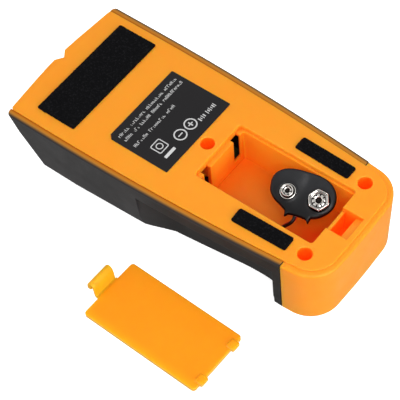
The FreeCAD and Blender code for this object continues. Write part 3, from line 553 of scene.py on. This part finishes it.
def coil_wire():
    """Enamelled wire, its turns drawn as bands along Z."""
    m = Material("enamel_wire")
    turns = m.add("ShaderNodeTexWave", {"Scale": 1100, "Distortion": 0.6, "Vector": m.coord},
                  wave_type="BANDS", bands_direction="Z").outputs["Fac"]
    colour = m.mix(turns, (0.42, 0.14, 0.04), (0.80, 0.36, 0.13))
    m.set(Base_Color=colour, Metallic=0.85, Roughness=m.spread(m.noise(500), to=(0.2, 0.36)),
          Normal=m.bump(turns, strength=0.8, distance=0.00012))
    return m.mat


COIL = coil_wire()


# ---------------------------------------------------------------- board, felt, window, display
def board():
    """Green board with a net of traces and gold vias."""
    m = Material("solder_mask")
    black, white = (0, 0, 0), (1, 1, 1)
    traces = m.add("ShaderNodeTexBrick", {
        "Scale": 260, "Mortar Size": 0.035, "Color1": black, "Color2": black, "Mortar": white,
        "Vector": m.coord}, offset=0.5).outputs["Fac"]
    cells = m.add("ShaderNodeTexVoronoi", {"Scale": 210, "Vector": m.coord}, feature="F1")
    vias = m.fade_out(cells.outputs["Distance"], over=(0.10, 0.14))
    base = m.mottle(m.noise(90), (0.005, 0.050, 0.020), (0.004, 0.040, 0.016))
    trace_strength = 0.5
    colour = m.mix(m.mul(traces, trace_strength), base, (0.012, 0.10, 0.042))
    colour = m.mix(vias, colour, (0.75, 0.62, 0.35))
    m.set(Base_Color=colour, Roughness=m.spread(m.noise(600), to=(0.26, 0.38)),
          Normal=m.bump(traces, strength=0.4, distance=0.00004))
    return m.mat


BOARD = board()


def felt():
    m = Material("black_felt")
    fuzz = m.noise(5200, detail=4, rough=0.7, distortion=1.2)
    tufts = m.noise(1500, detail=3, rough=0.6, distortion=2.0)
    stretched = m.add("ShaderNodeMapping", {"Scale": (1, 7, 1), "Vector": m.coord}).outputs[0]
    fibres = m.noise(1700, detail=3, rough=0.65, distortion=1.5, vector=stretched)
    colour = m.mix(m.fade_in(fuzz, over=(0.35, 0.75)),
                   (0.0010, 0.0010, 0.0012), (0.0044, 0.0044, 0.0052))
    colour = m.mix(m.remap(fibres, over=(0.58, 0.74), to=(0, 0.8)), colour, (0.018, 0.018, 0.020))
    lint = m.noise(1350, detail=2, rough=0.5)
    colour = m.mix(m.remap(lint, over=(0.54, 0.72), to=(0, 0.8)), colour, (0.0135, 0.0135, 0.0150))
    fuzz_height, tuft_height = 0.6, 0.8
    height = m.calc("ADD", m.mul(fuzz, fuzz_height), m.mul(tufts, tuft_height))
    m.set(Base_Color=colour, Roughness=0.96,
          Normal=m.bump(height, strength=0.9, distance=0.00016,
                        normal=m.bump(fibres, strength=0.5, distance=0.00008)),
          Specular_IOR_Level=0.05, Sheen_Weight=0.02, Sheen_Roughness=0.6,
          Sheen_Tint=(0.5, 0.5, 0.55))
    return m.mat


FELT = felt()


def clear_window():
    m = Material("window_pmma")
    m.set(Base_Color=m.mottle(m.noise(60), (0.93, 0.95, 0.95), (0.8928, 0.912, 0.912)),
          Roughness=m.spread(m.noise(300), to=(0.03, 0.08)),
          Normal=m.bump(m.noise(900), strength=0.1, distance=0.000004),
          Transmission_Weight=0.95, IOR=1.47)
    return m.mat


WINDOW = clear_window()


def display_cell():
    m = Material("lcd_cell")
    base = m.mottle(m.noise(45), (0.34, 0.41, 0.33), (0.31, 0.37, 0.30))
    grid = m.add("ShaderNodeTexChecker", {"Scale": 2400, "Vector": m.coord}).outputs["Fac"]
    grid_strength = 0.05
    m.set(Base_Color=m.mix(m.mul(grid, grid_strength), base, (0.2, 0.25, 0.2)),
          Roughness=m.spread(m.noise(400), to=(0.16, 0.26)), Coat_Weight=0.4)
    return m.mat


DISPLAY = display_cell()

PAINT = {
    "back_shell": ORANGE, "battery_door": ORANGE_THIN, "door_latch": ORANGE_LIT_SPRING,
    "front_shell": DARK, "display_bezel": BLACK_GLOSS, "display_window": WINDOW,
    "lcd_module": DISPLAY, "lcd_frame": CHIP, "lcd_backlight": WHITE, "zebra_strips": ELASTOMER,
    "light_pipe": RED_LENS, "status_led": WHITE, "main_pcb": BOARD, "sensing_board": BOARD,
    "board_screws": ZINC, "housing_screws": ZINC, "controller_chip": CHIP, "amplifier_chip": CHIP,
    "capacitors": GREY, "chip_resistors": CHIP, "buzzer": CHIP, "tact_switches": GREY,
    "metal_key": KEY_RUBBER, "stud_key": KEY_RUBBER, "live_wire_key": KEY_RUBBER,
    "sensing_plates": COPPER, "coil_bobbin": WHITE, "detector_coil": COIL,
    "board_link_header": CHIP, "head_pad": FELT, "right_pad": FELT, "left_pad": FELT,
    "rating_label": LABEL, "snap_body": SNAP_VINYL, "snap_stud": NICKEL, "snap_socket": NICKEL,
    "lead_black": LEAD_BLACK, "lead_red": LEAD_RED,
}


def paint_cad_piece(ob, material):
    """Smooth shading with edges above 28 degrees kept hard by a modifier."""
    ob.data.materials.clear()
    ob.data.materials.append(material)
    for polygon in ob.data.polygons:
        polygon.use_smooth = True
    split = ob.modifiers.new("split", "EDGE_SPLIT")
    split.use_edge_angle = True
    split.split_angle = math.radians(28)
    split.use_edge_sharp = False


for piece, piece_object in NODES.items():
    paint_cad_piece(piece_object, PAINT[piece])


# ---------------------------------------------------------------- felt pads
FELT_EDGE = 0.42       # width of the rounded edge
FELT_EDGE_SHARE = 0.42  # share of the thickness at the outline


def felt_point(x, y, half_x, half_y, corner, low, high, seed):
    """Moves a grid point onto the pad's fuzzy top, in the pad's own frame."""
    dx, dy = abs(x) - (half_x - corner), abs(y) - (half_y - corner)
    if dx > 0 and dy > 0:
        k = max(dx, dy) / math.hypot(dx, dy)
        dx, dy = dx * k, dy * k
        x = math.copysign(half_x - corner + dx, x)
        y = math.copysign(half_y - corner + dy, y)
        inset = corner - math.hypot(dx, dy)
    else:
        inset = min(half_x - abs(x), half_y - abs(y))
    jag = (noise.noise(Vector((x * 1.6 + seed, y * 1.6, 3.1))) * 0.16
           + noise.noise(Vector((x * 4.2, y * 4.2 + seed, 9.7))) * 0.13)
    shift = jag * math.exp(-inset / 0.5) / (math.hypot(x, y) or 1)
    u = min(1.0, max(0.0, inset / FELT_EDGE))
    dome = math.sqrt(max(0.0, 1 - (1 - u) ** 2))
    z = low + (high - low) * (FELT_EDGE_SHARE + (1 - FELT_EDGE_SHARE) * dome)
    z += 0.055 * noise.noise(Vector((x * 2.3 + seed, y * 2.3, 0)))
    z += 0.05 * noise.noise(Vector((x * 6 + seed, y * 6, 5)))
    return x + x * shift, y + y * shift, min(z, high + 0.04)


def felt_pad(node, centre, size, corner, angle, step, seed):
    low, high = (c.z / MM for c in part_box(node))
    nx, ny = (int(length / step) for length in size)
    half_x, half_y = size[0] / 2, size[1] / 2
    cos, sin = math.cos(angle), math.sin(angle)
    verts, index = [], {}
    for i in range(nx + 1):
        for j in range(ny + 1):
            x, y, z = felt_point(-half_x + 2 * half_x * i / nx, -half_y + 2 * half_y * j / ny,
                                 half_x, half_y, corner, low, high, seed)
            index[i, j] = len(verts)
            verts.append((centre[0] + x * cos - y * sin, centre[1] + x * sin + y * cos, z))
    faces = [(index[i, j], index[i + 1, j], index[i + 1, j + 1], index[i, j + 1])
             for i in range(nx) for j in range(ny)]
    loop = [(i, 0) for i in range(nx)] + [(nx, j) for j in range(ny)]
    loop += [(i, ny) for i in range(nx, 0, -1)] + [(0, j) for j in range(ny, 0, -1)]
    top = [index[key] for key in loop]
    base = list(range(len(verts), len(verts) + len(top)))
    verts += [(verts[k][0], verts[k][1], low) for k in top]
    for k in range(len(top)):
        j = (k + 1) % len(top)
        faces.append((top[k], base[k], base[j], top[j]))
    faces.append(tuple(base))
    finish_piece(new_mesh(node + "_felt", verts, faces), FELT, "housing", node)


felt_pad("head_pad", centre=(-53.2, 1.0), size=(18.2, 50.6), corner=0.7, angle=0.0,
         step=0.34, seed=1)
felt_pad("right_pad", centre=(41.35, 19.744), size=(24.2, 5.9), corner=1.0,
         angle=math.radians(-1.6), step=0.28, seed=20)
felt_pad("left_pad", centre=(41.15, -19.5), size=(23.8, 6.3), corner=1.0,
         angle=math.radians(1.6), step=0.28, seed=40)

# ---------------------------------------------------------------- rating label print
# Lines of print run along +Y, with the tops of their characters towards -X.
ROW_START = -17.2
ROW_HEIGHT = 1.35
STROKE = 0.19
# x of the line, y of its end, lengths of its words
LABEL_ROWS = [(-27.6, 17.8, (4, 6, 7, 5)), (-24.7, 17.9, (3, 2, 4, 4, 8)), (-20.0, 7.1, (5, 6, 3))]
CODE_X, CODE_Y, CODE_PITCH = -7.6, 6.8, 0.9
CODE_HEIGHTS = [1.9, 1.1, 1.9, 1.5, 0, 1.9, 1.2, 1.9, 1.1, 1.6, 1.9]


def print_character(marks, rng, x, start, end):
    """A made-up character of two to four strokes."""
    top, bottom = x - ROW_HEIGHT / 2, x + ROW_HEIGHT / 2
    inset = STROKE * 1.05
    kind = rng.randrange(5)
    if rng.random() < 0.55:
        top += ROW_HEIGHT * 0.28
    if kind != 3:
        marks.bar(top, bottom, start, start + STROKE)
    if kind in (0, 2):
        marks.bar(top, bottom, end - STROKE, end)
    if kind in (1, 3):
        marks.bar(bottom - STROKE, bottom, start + inset, end)
    if kind in (1, 2, 3):
        middle = (top + bottom) / 2
        marks.bar(middle - STROKE / 2, middle + STROKE / 2, start + inset, end - inset)
    if kind in (0, 4):
        marks.bar(top, top + STROKE, start + inset, end - (inset if kind == 0 else 0))


def print_row(marks, rng, x, row_end, words):
    gap = 0.75
    scale = (row_end - ROW_START) / (sum(words) + gap * (len(words) - 1))
    y = ROW_START
    for length in words:
        count = int(round(length * 1.45))
        cell = length * scale / count
        for i in range(count):
            print_character(marks, rng, x, y + cell * i, y + cell * (i + 0.72))
        y += length * scale + gap * scale


def rating_label_print():
    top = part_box("rating_label")[1].z / MM
    marks = Marks(low=top - 0.01, high=top + 0.02)
    rng = random.Random(5)
    for row in LABEL_ROWS:
        print_row(marks, rng, *row)
    # a row of bars of uneven height
    for k, height in enumerate(CODE_HEIGHTS):
        if height:
            y = CODE_Y + k * CODE_PITCH
            width = 0.34 if k % 3 else 0.5
            marks.bar(CODE_X - height / 2, CODE_X + height / 2, y, y + width)
    # a minus and a plus, each in a ring
    x = -9.3
    for y, plus in ((-2.8, False), (3.4, True)):
        marks.ring(circle(x, y, 2.7), circle(x, y, 2.15))
        marks.prism(round_rect(x, y, 0.5, 2.4, 0.1, segments=2))
        if plus:
            for arm in (-0.75, 0.75):
                marks.prism(round_rect(x + arm, y, 0.85, 0.6, 0.1, segments=2))
    # a ring in a square frame, with a bar beside it
    x, y = -12.4, -11.6
    marks.ring(round_rect(x, y, 5.4, 5.4, 0.8), round_rect(x, y, 4.6, 4.6, 0.5))
    marks.ring(circle(x, y, 1.5), circle(x, y, 1.1))
    marks.prism(round_rect(-7.3, -11.7, 1.3, 5.8, 0.08, segments=2))
    marks.build("rating_label_print", PRINT, "label_film", "housing")


rating_label_print()

# ---------------------------------------------------------------- display and key marks
MARK_DEPTH = 0.03


def marks_under(node):
    """Marks hanging from the underside of a CAD piece."""
    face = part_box(node)[0].z / MM
    return Marks(low=face - MARK_DEPTH, high=face)


def display_segments():
    marks = marks_under("lcd_module")
    # nine bars, tallest in the middle
    for k in range(9):
        height = 1.2 + 0.75 * (4 - abs(k - 4))
        y = -11.0 + k * 2.6
        marks.bar(-29.5 - height / 2, -29.5 + height / 2, y, y + 1.5)
    # a dashed line
    for k in range(5):
        y = -10.2 + k * 4.4
        marks.bar(-21.4, -20.6, y, y + 3.0)
    # a rounded frame, a ring and a cross in a row
    x = -16.0
    marks.ring(round_rect(x, -9.2, 2.4, 4.4, 0.4), round_rect(x, -9.2, 1.7, 3.7, 0.25))
    marks.ring(circle(x, 0.0, 1.5), circle(x, 0.0, 1.0))
    marks.bar(-17.2, -14.8, 8.4, 8.9)
    marks.bar(-16.25, -15.75, 7.4, 9.9)
    marks.build("lcd_segments", CHIP, "ic_black", "housing")


def rings_mark(marks, x):
    marks.ring(circle(x, 0, 2.0), circle(x, 0, 1.5))
    marks.ring(circle(x, 0, 1.0), circle(x, 0, 0.55))


def bars_mark(marks, x):
    for y in (-1.9, 0, 1.9):
        marks.prism(round_rect(x, y, 3.6, 0.55, 0.15))


# x from the key's centre, y
BOLT = [(-0.9, -0.45), (-0.3, 0.1), (-2.2, 1.0), (0.9, 0.3), (0.2, -0.2), (2.2, -0.9)]


def bolt_mark(marks, x):
    marks.prism([(x + dx, y) for dx, y in BOLT])


display_segments()
for key, key_x, draw in (("metal_key", 12.0, rings_mark), ("stud_key", 26.0, bars_mark),
                         ("live_wire_key", 40.0, bolt_mark)):
    key_marks = marks_under("metal_key")
    draw(key_marks, key_x)
    key_marks.build(key + "_mark", PRINT, "label_film", key)

# ---------------------------------------------------------------- battery connector body
# In the snap's own frame the stud lies at -x, the socket at +x, and the top skin at z = 0.
SNAP_FRAME = (Matrix.Translation(Vector((43.2, 3.15, 26.3)))
              @ Matrix.Rotation(math.radians(14.1), 4, "Z")
              @ Matrix.Rotation(math.radians(22.0), 4, "X"))
SNAP_THICKNESS = 3.2
STUD_X, SOCKET_X = -6.18, 6.18
SNAP_CENTRE_X, SNAP_CENTRE_Y = -0.6, 0.6
# x, y of the rounded body, smoothed into a curve
SNAP_CURVE = [
    (-5.1, -7.0), (-7.5, -5.7), (-10.4, -4.1), (-12.6, -1.9), (-13.5, 0.8), (-13.7, 3.4),
    (-12.7, 6.0), (-9.9, 8.2), (-5.8, 9.2), (-1.3, 9.4), (3.3, 9.3), (6.8, 8.4), (9.8, 6.4),
    (11.6, 3.6), (12.1, 0.4), (11.1, -2.6), (9.0, -5.1), (6.9, -6.5), (5.3, -7.1)]
# x, y of the near edge between its two pointed ears
SNAP_EARS = [
    (4.95, -8.2), (4.8, -9.15), (4.55, -9.25), (4.2, -8.75), (3.4, -8.05), (1.7, -7.9), (0, -7.85),
    (-1.7, -7.9), (-3.4, -8.05), (-4.1, -8.7), (-4.45, -9.15), (-4.7, -9.05), (-4.8, -8.1)]
# outline scale, z from the underside up to the top edge
SNAP_SIDE = [
    (0.80, -SNAP_THICKNESS), (0.90, -SNAP_THICKNESS + 0.12), (0.965, -SNAP_THICKNESS + 0.55),
    (0.99, -SNAP_THICKNESS + 1.1), (1.0, -SNAP_THICKNESS + 1.7), (1.0, -1.05), (0.992, -0.62),
    (0.972, -0.3), (0.94, -0.1)]
TOP_SCALE, TOP_ROWS = 0.90, 34


def snap_top(x, y):
    """Height of the soft skin: a pillow raised round each contact and pinched between them."""
    z = 0.42 * math.exp(-((x + 6.2) ** 2 + y * y) / 22.0)
    z += 0.42 * math.exp(-((x - 6.2) ** 2 + y * y) / 26.0)
    z -= 0.66 * math.exp(-(x * x) / 7.0 - ((y - 3.5) ** 2) / 30.0)
    for cx, radius in ((STUD_X, 3.15), (SOCKET_X, 4.25)):
        distance = math.hypot(x - cx, y)
        z += 0.22 * math.exp(-((distance - radius - 0.35) / 0.35) ** 2)
        if distance < radius:
            z -= 0.55 * min(1.0, (radius - distance) / 0.3)
    return z


def snap_body():
    outline = [(p.x, p.y) for p in catmull(SNAP_CURVE, 9)] + SNAP_EARS

    def scaled(s):
        return [((x - SNAP_CENTRE_X) * s + SNAP_CENTRE_X, (y - SNAP_CENTRE_Y) * s + SNAP_CENTRE_Y)
                for x, y in outline]

    rows = [[(x, y, z) for x, y in scaled(s)] for s, z in SNAP_SIDE]
    # rows shrink towards the centre, the pillow rising to full height over the first few
    for k in range(TOP_ROWS):
        rise = min(1, 0.5 + k / 6)
        rows.append([(x, y, snap_top(x, y) * rise)
                     for x, y in scaled(TOP_SCALE * (1 - k / TOP_ROWS))])
    rows = [[tuple(SNAP_FRAME @ Vector(p)) for p in row] for row in rows]
    finish_piece(rings("snap_body_vinyl", rows), SNAP_VINYL, "battery_snap",
                 "snap_body")


snap_body()

# ---------------------------------------------------------------- battery contacts
# A contact is a stack of rings; each ring gives radius and z at an angle.
CONTACT_BASE = -0.58
HEX_ANGLE = math.radians(51.3)  # where one corner of the socket's hexagon lies
PETALS = 8


def plain(radius, z):
    return lambda a: (radius, CONTACT_BASE + z)


def hexagon(radius, z, bend=0.8, dip=0.0):
    """A ring bent towards a hexagon, with a notch dip deep at each corner."""
    def ring(a):
        to_flat = ((a - HEX_ANGLE) % (math.pi / 3)) - math.pi / 6
        hexed = math.cos(math.pi / 6) / math.cos(to_flat)
        to_corner = abs(((a - HEX_ANGLE + math.pi / 6) % (math.pi / 3)) - math.pi / 6)
        notch = math.exp(-(to_corner / 0.07) ** 2)
        return radius * (1 - bend + bend * hexed * 1.07), CONTACT_BASE + z - dip * notch
    return ring


def petal(radius, z, depth):
    """A ring pulled in by depth at each petal gap."""
    return lambda a: (radius - depth * (0.5 + 0.5 * math.cos(PETALS * a)) ** 2, CONTACT_BASE + z)


STUD = [
    plain(3.05, 0.0), plain(3.12, 0.15), plain(3.14, 0.60), plain(3.05, 0.78), plain(2.66, 0.82),
    plain(2.50, 0.60), plain(2.26, 0.55), plain(2.14, 0.85), plain(2.14, 1.2), plain(2.22, 1.6),
    plain(2.32, 1.95), plain(2.24, 2.16), plain(2.04, 2.20), plain(1.82, 2.10), plain(1.72, 1.85),
    plain(1.60, 1.75), petal(1.5, 1.80, 0.1), petal(1.2, 1.82, 0.05), plain(0.94, 1.7),
    plain(0.88, 1.2), plain(0.5, 0.95), plain(0.15, 0.92)]
SOCKET = [
    plain(4.1, 0.0), plain(4.12, 0.2), plain(4.05, 0.5), hexagon(3.9, 0.75),
    hexagon(3.92, 1.6, 0.85), hexagon(4.0, 2.3, 0.85, 0.2), hexagon(3.97, 2.62, 0.85, 0.3),
    hexagon(3.82, 2.80, 0.85, 0.3), hexagon(3.50, 2.80, 0.85, 0.3), hexagon(3.34, 2.45, 0.8, 0.2),
    hexagon(3.24, 2.40, 0.7), hexagon(3.08, 2.42, 0.55), plain(2.92, 2.0), plain(2.74, 1.75),
    petal(2.66, 1.85, 0.2), petal(2.2, 2.05, 0.25), petal(1.7, 2.08, 0.15), plain(1.28, 1.9),
    plain(1.1, 1.5), plain(1.05, 0.8), plain(0.7, 0.7), plain(0.15, 0.68)]

# painted shade: a dark nickel for the grooves, gaps and holes of the contacts
GROOVE_SHADE_NICKEL = metal("nickel_groove_shade", (0.020, 0.017, 0.016), (0.012, 0.010, 0.010), rough=0.4)


def contact(name, node, profile, sides, cx, dark, gaps, gap_count):
    """Builds a contact, with painted shade, a dark nickel, on the dark bands and in the gaps of the gap
    bands.

    Band 21, past the last ring, is the two caps.
    """
    rows = []
    for ring in profile:
        row = []
        for k in range(sides):
            a = 2 * math.pi * k / sides
            radius, z = ring(a)
            point = Vector((cx + radius * math.cos(a), radius * math.sin(a), z))
            row.append(tuple(SNAP_FRAME @ point))
        rows.append(row)
    ob = rings(name, rows)
    finish_piece(ob, NICKEL, "battery_snap", node)
    ob.data.materials.append(GROOVE_SHADE_NICKEL)
    for polygon in ob.data.polygons:
        band, k = divmod(polygon.index, sides)
        in_gap = math.cos(gap_count * (2 * math.pi * (k + 0.5) / sides)) > 0.38
        if band in dark or (band in gaps and in_gap):
            polygon.material_index = 1


contact("snap_stud_turned", "snap_stud", STUD, sides=96, cx=STUD_X,
        dark={4, 5, 6, 7, 13, 14, 18, 19, 20, 21}, gaps={15, 16}, gap_count=6)
contact("snap_socket_petals", "snap_socket", SOCKET, sides=144, cx=SOCKET_X,
        dark={0, 1, 2, 8, 11, 13, 18, 19, 20, 21}, gaps={14, 15}, gap_count=PETALS)

# ---------------------------------------------------------------- leads
HEADER_X, HEADER_Y = 38.2, -10.6
PIN_OFFSET = 0.85
WIRE_RADIUS = 0.64
# x, y, z from the snap down towards the board header
BLACK_RUN = [(44.4, -4.9, 21.7), (44.05, -6.2, 20.7), (42.05, -7.3, 18.2), (40.1, -8.5, 15.7),
             (38.9, -9.6, 13.4)]
RED_RUN = [(x - 0.2, y + 1.35, z - 0.7) for x, y, z in BLACK_RUN[:4]] + [(37.45, -8.9, 13.1)]


def lead(node, start, run, pin_x, entry_z, material):
    """A wire from the snap, along its run and straight down onto its header pin."""
    down = [(pin_x, HEADER_Y, z) for z in (entry_z, 10.0, 8.75)]
    ob = tube(node + "_wire", [start] + run + down, WIRE_RADIUS, sides=18, steps=12)
    finish_piece(ob, material)
    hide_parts(node)
    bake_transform(ob)


lead("lead_black", (44.2, -3.9, 22.3), BLACK_RUN, HEADER_X + PIN_OFFSET, 11.4,
     LEAD_BLACK)
lead("lead_red", (44.0, -2.6, 21.6), RED_RUN, HEADER_X - PIN_OFFSET, 11.2,
     LEAD_RED)

# ---------------------------------------------------------------- door latch
DOOR_FRAME = (Matrix.Translation(Vector((DOOR_X, DOOR_Y, 0)))
              @ Matrix.Rotation(DOOR_TURN, 4, "Z"))
# x, z of the tongue's centre line in the door's frame, from the door up and over
LATCH_LINE = [
    (-26.3, 1.2), (-27.0, 1.2), (-27.58, 1.34), (-27.86, 2.0), (-27.95, 3.1), (-28.12, 4.9),
    (-28.45, 6.6), (-29.1, 7.65), (-29.85, 7.72), (-30.45, 6.8), (-30.6, 4.8)]
LATCH_HALF_WIDTH, LATCH_Y = 5.4, -0.3
LATCH_HALF_THICK, LATCH_TIP_HALF_THICK = 0.6, 0.98
LATCH_CORNER = 0.34
# distance past the end of the centre line, scale of the section
LATCH_TIP = [(0.30, 0.92), (0.55, 0.72), (0.66, 0.4)]


def latch_section(centre, along, scale, half_thick):
    """Rounded rectangular section of the tongue at centre, square to along."""
    normal = Vector((-along.z, 0, along.x))
    half_width = LATCH_HALF_WIDTH * (0.97 + 0.03 * scale)
    corner = LATCH_CORNER
    points = []
    for sx, sy, start in CORNERS:
        for k in range(4):
            a = math.radians(start + 90 * k / 3)
            y = LATCH_Y + sx * (half_width - corner) + corner * math.cos(a)
            height = scale * (sy * (half_thick - corner) + corner * math.sin(a))
            points.append(centre + Vector((0, y, 0)) + normal * height)
    return points


def door_latch():
    path = catmull([(x, 0, z) for x, z in LATCH_LINE], 6)
    last = len(path) - 1
    rows = []
    for i, centre in enumerate(path):
        # thickens smoothly over the last fifth
        u = max(0.0, min(1.0, (i / last - 0.8) / 0.16))
        growth = (LATCH_TIP_HALF_THICK - LATCH_HALF_THICK) * u * u * (3 - 2 * u)
        rows.append(latch_section(centre, direction_at(path, i), 1.0, LATCH_HALF_THICK + growth))
    along = direction_at(path, last)
    for distance, scale in LATCH_TIP:
        rows.append(latch_section(path[-1] + along * distance, along, scale, LATCH_TIP_HALF_THICK))
    rows = [[tuple(DOOR_FRAME @ p) for p in row] for row in rows]
    ob = rings("door_latch_tongue", rows)
    finish_piece(ob, ORANGE_LIT_SPRING)
    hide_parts("door_latch")
    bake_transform(ob)


door_latch()


# ---------------------------------------------------------------- floor and world
def floor_material():
    """Pale floor seen only by the camera and from above; it is clear to all other rays."""
    m = Material("pale_floor")
    colour = m.mottle(m.noise(6, detail=3), (0.93, 0.93, 0.93), (0.91, 0.91, 0.912))
    m.set(Base_Color=colour, Roughness=0.85, Specular_IOR_Level=0.1)
    clear = m.add("ShaderNodeBsdfTransparent").outputs[0]
    camera_ray = m.add("ShaderNodeLightPath").outputs["Is Camera Ray"]
    front = m.calc("SUBTRACT", 1.0, m.geometry("Backfacing"))
    seen = m.mul(front, camera_ray)
    glow = m.add("ShaderNodeEmission", {"Strength": 0.66}).outputs[0]
    lit = m.add("ShaderNodeAddShader", {0: glow, 1: m.shader.outputs[0]}).outputs[0]
    surface = m.add("ShaderNodeMixShader", {0: seen, 1: clear, 2: lit}).outputs[0]
    m.feed(surface, m.tree.nodes["Material Output"].inputs["Surface"])
    return m.mat


def studio_floor():
    half, z = 3.0, -0.0002
    mesh = bpy.data.meshes.new("studio_floor")
    corners = [(-half, -half, z), (half, -half, z), (half, half, z), (-half, half, z)]
    mesh.from_pydata(corners, [], [(0, 1, 2, 3)])
    floor = bpy.data.objects.new("studio_floor", mesh)
    scene.collection.objects.link(floor)
    mesh.materials.append(floor_material())


def studio_world():
    """A soft grey sky, brightest overhead."""
    world = bpy.data.worlds.new("studio")
    scene.world = world
    world.use_nodes = True
    sky = NodeBuilder(world.node_tree)
    height = sky.xyz(sky.add("ShaderNodeTexCoord").outputs["Generated"])[2]
    colour = sky.ramp(sky.fade_in(height, over=(-1.0, 1.0)), [
        (0.0, (0.74, 0.73, 0.72)), (0.5, (0.90, 0.90, 0.90)), (1.0, (1, 1, 1))])
    background = sky.tree.nodes["Background"]
    sky.feed(colour, background.inputs["Color"])
    background.inputs["Strength"].default_value = 0.67


studio_floor()
studio_world()


# ---------------------------------------------------------------- lights and camera
def area_light(name, location, target, size, power):
    light = bpy.data.lights.new(name, "AREA")
    light.shape = "RECTANGLE"
    light.size, light.size_y = size
    light.energy = power
    ob = bpy.data.objects.new(name, light)
    scene.collection.objects.link(ob)
    ob.location = location
    ob.rotation_mode = "QUATERNION"
    ob.rotation_quaternion = (Vector(target) - Vector(location)).to_track_quat("-Z", "Y")


area_light("key", location=(0.45, -0.35, 0.75), target=(0, 0, 0.01), size=(0.5, 0.5), power=4.4)
area_light("fill", location=(-0.45, -0.5, 0.5), target=(0, -0.02, 0.01), size=(0.6, 0.4),
           power=0.8)
area_light("tail_fill", location=(0.75, -0.12, 0.22), target=(0.06, 0, 0.01), size=(0.4, 0.3),
           power=2.2)


def add_camera():
    data = bpy.data.cameras.new("camera")
    camera = bpy.data.objects.new("camera", data)
    scene.collection.objects.link(camera)
    data.sensor_width = 36.0
    data.lens = 148.83
    data.clip_start = 0.01
    data.clip_end = 20
    location = Vector((0.246259, -0.280534, 0.52616))
    right = (0.792204, 0.607958, -0.052918)
    up = (-0.475724, 0.669548, 0.570432)
    back = (0.38223, -0.426724, 0.819638)
    axes = Matrix((right, up, back)).transposed().to_4x4()
    camera.matrix_world = Matrix.Translation(location) @ axes
    scene.camera = camera


add_camera()
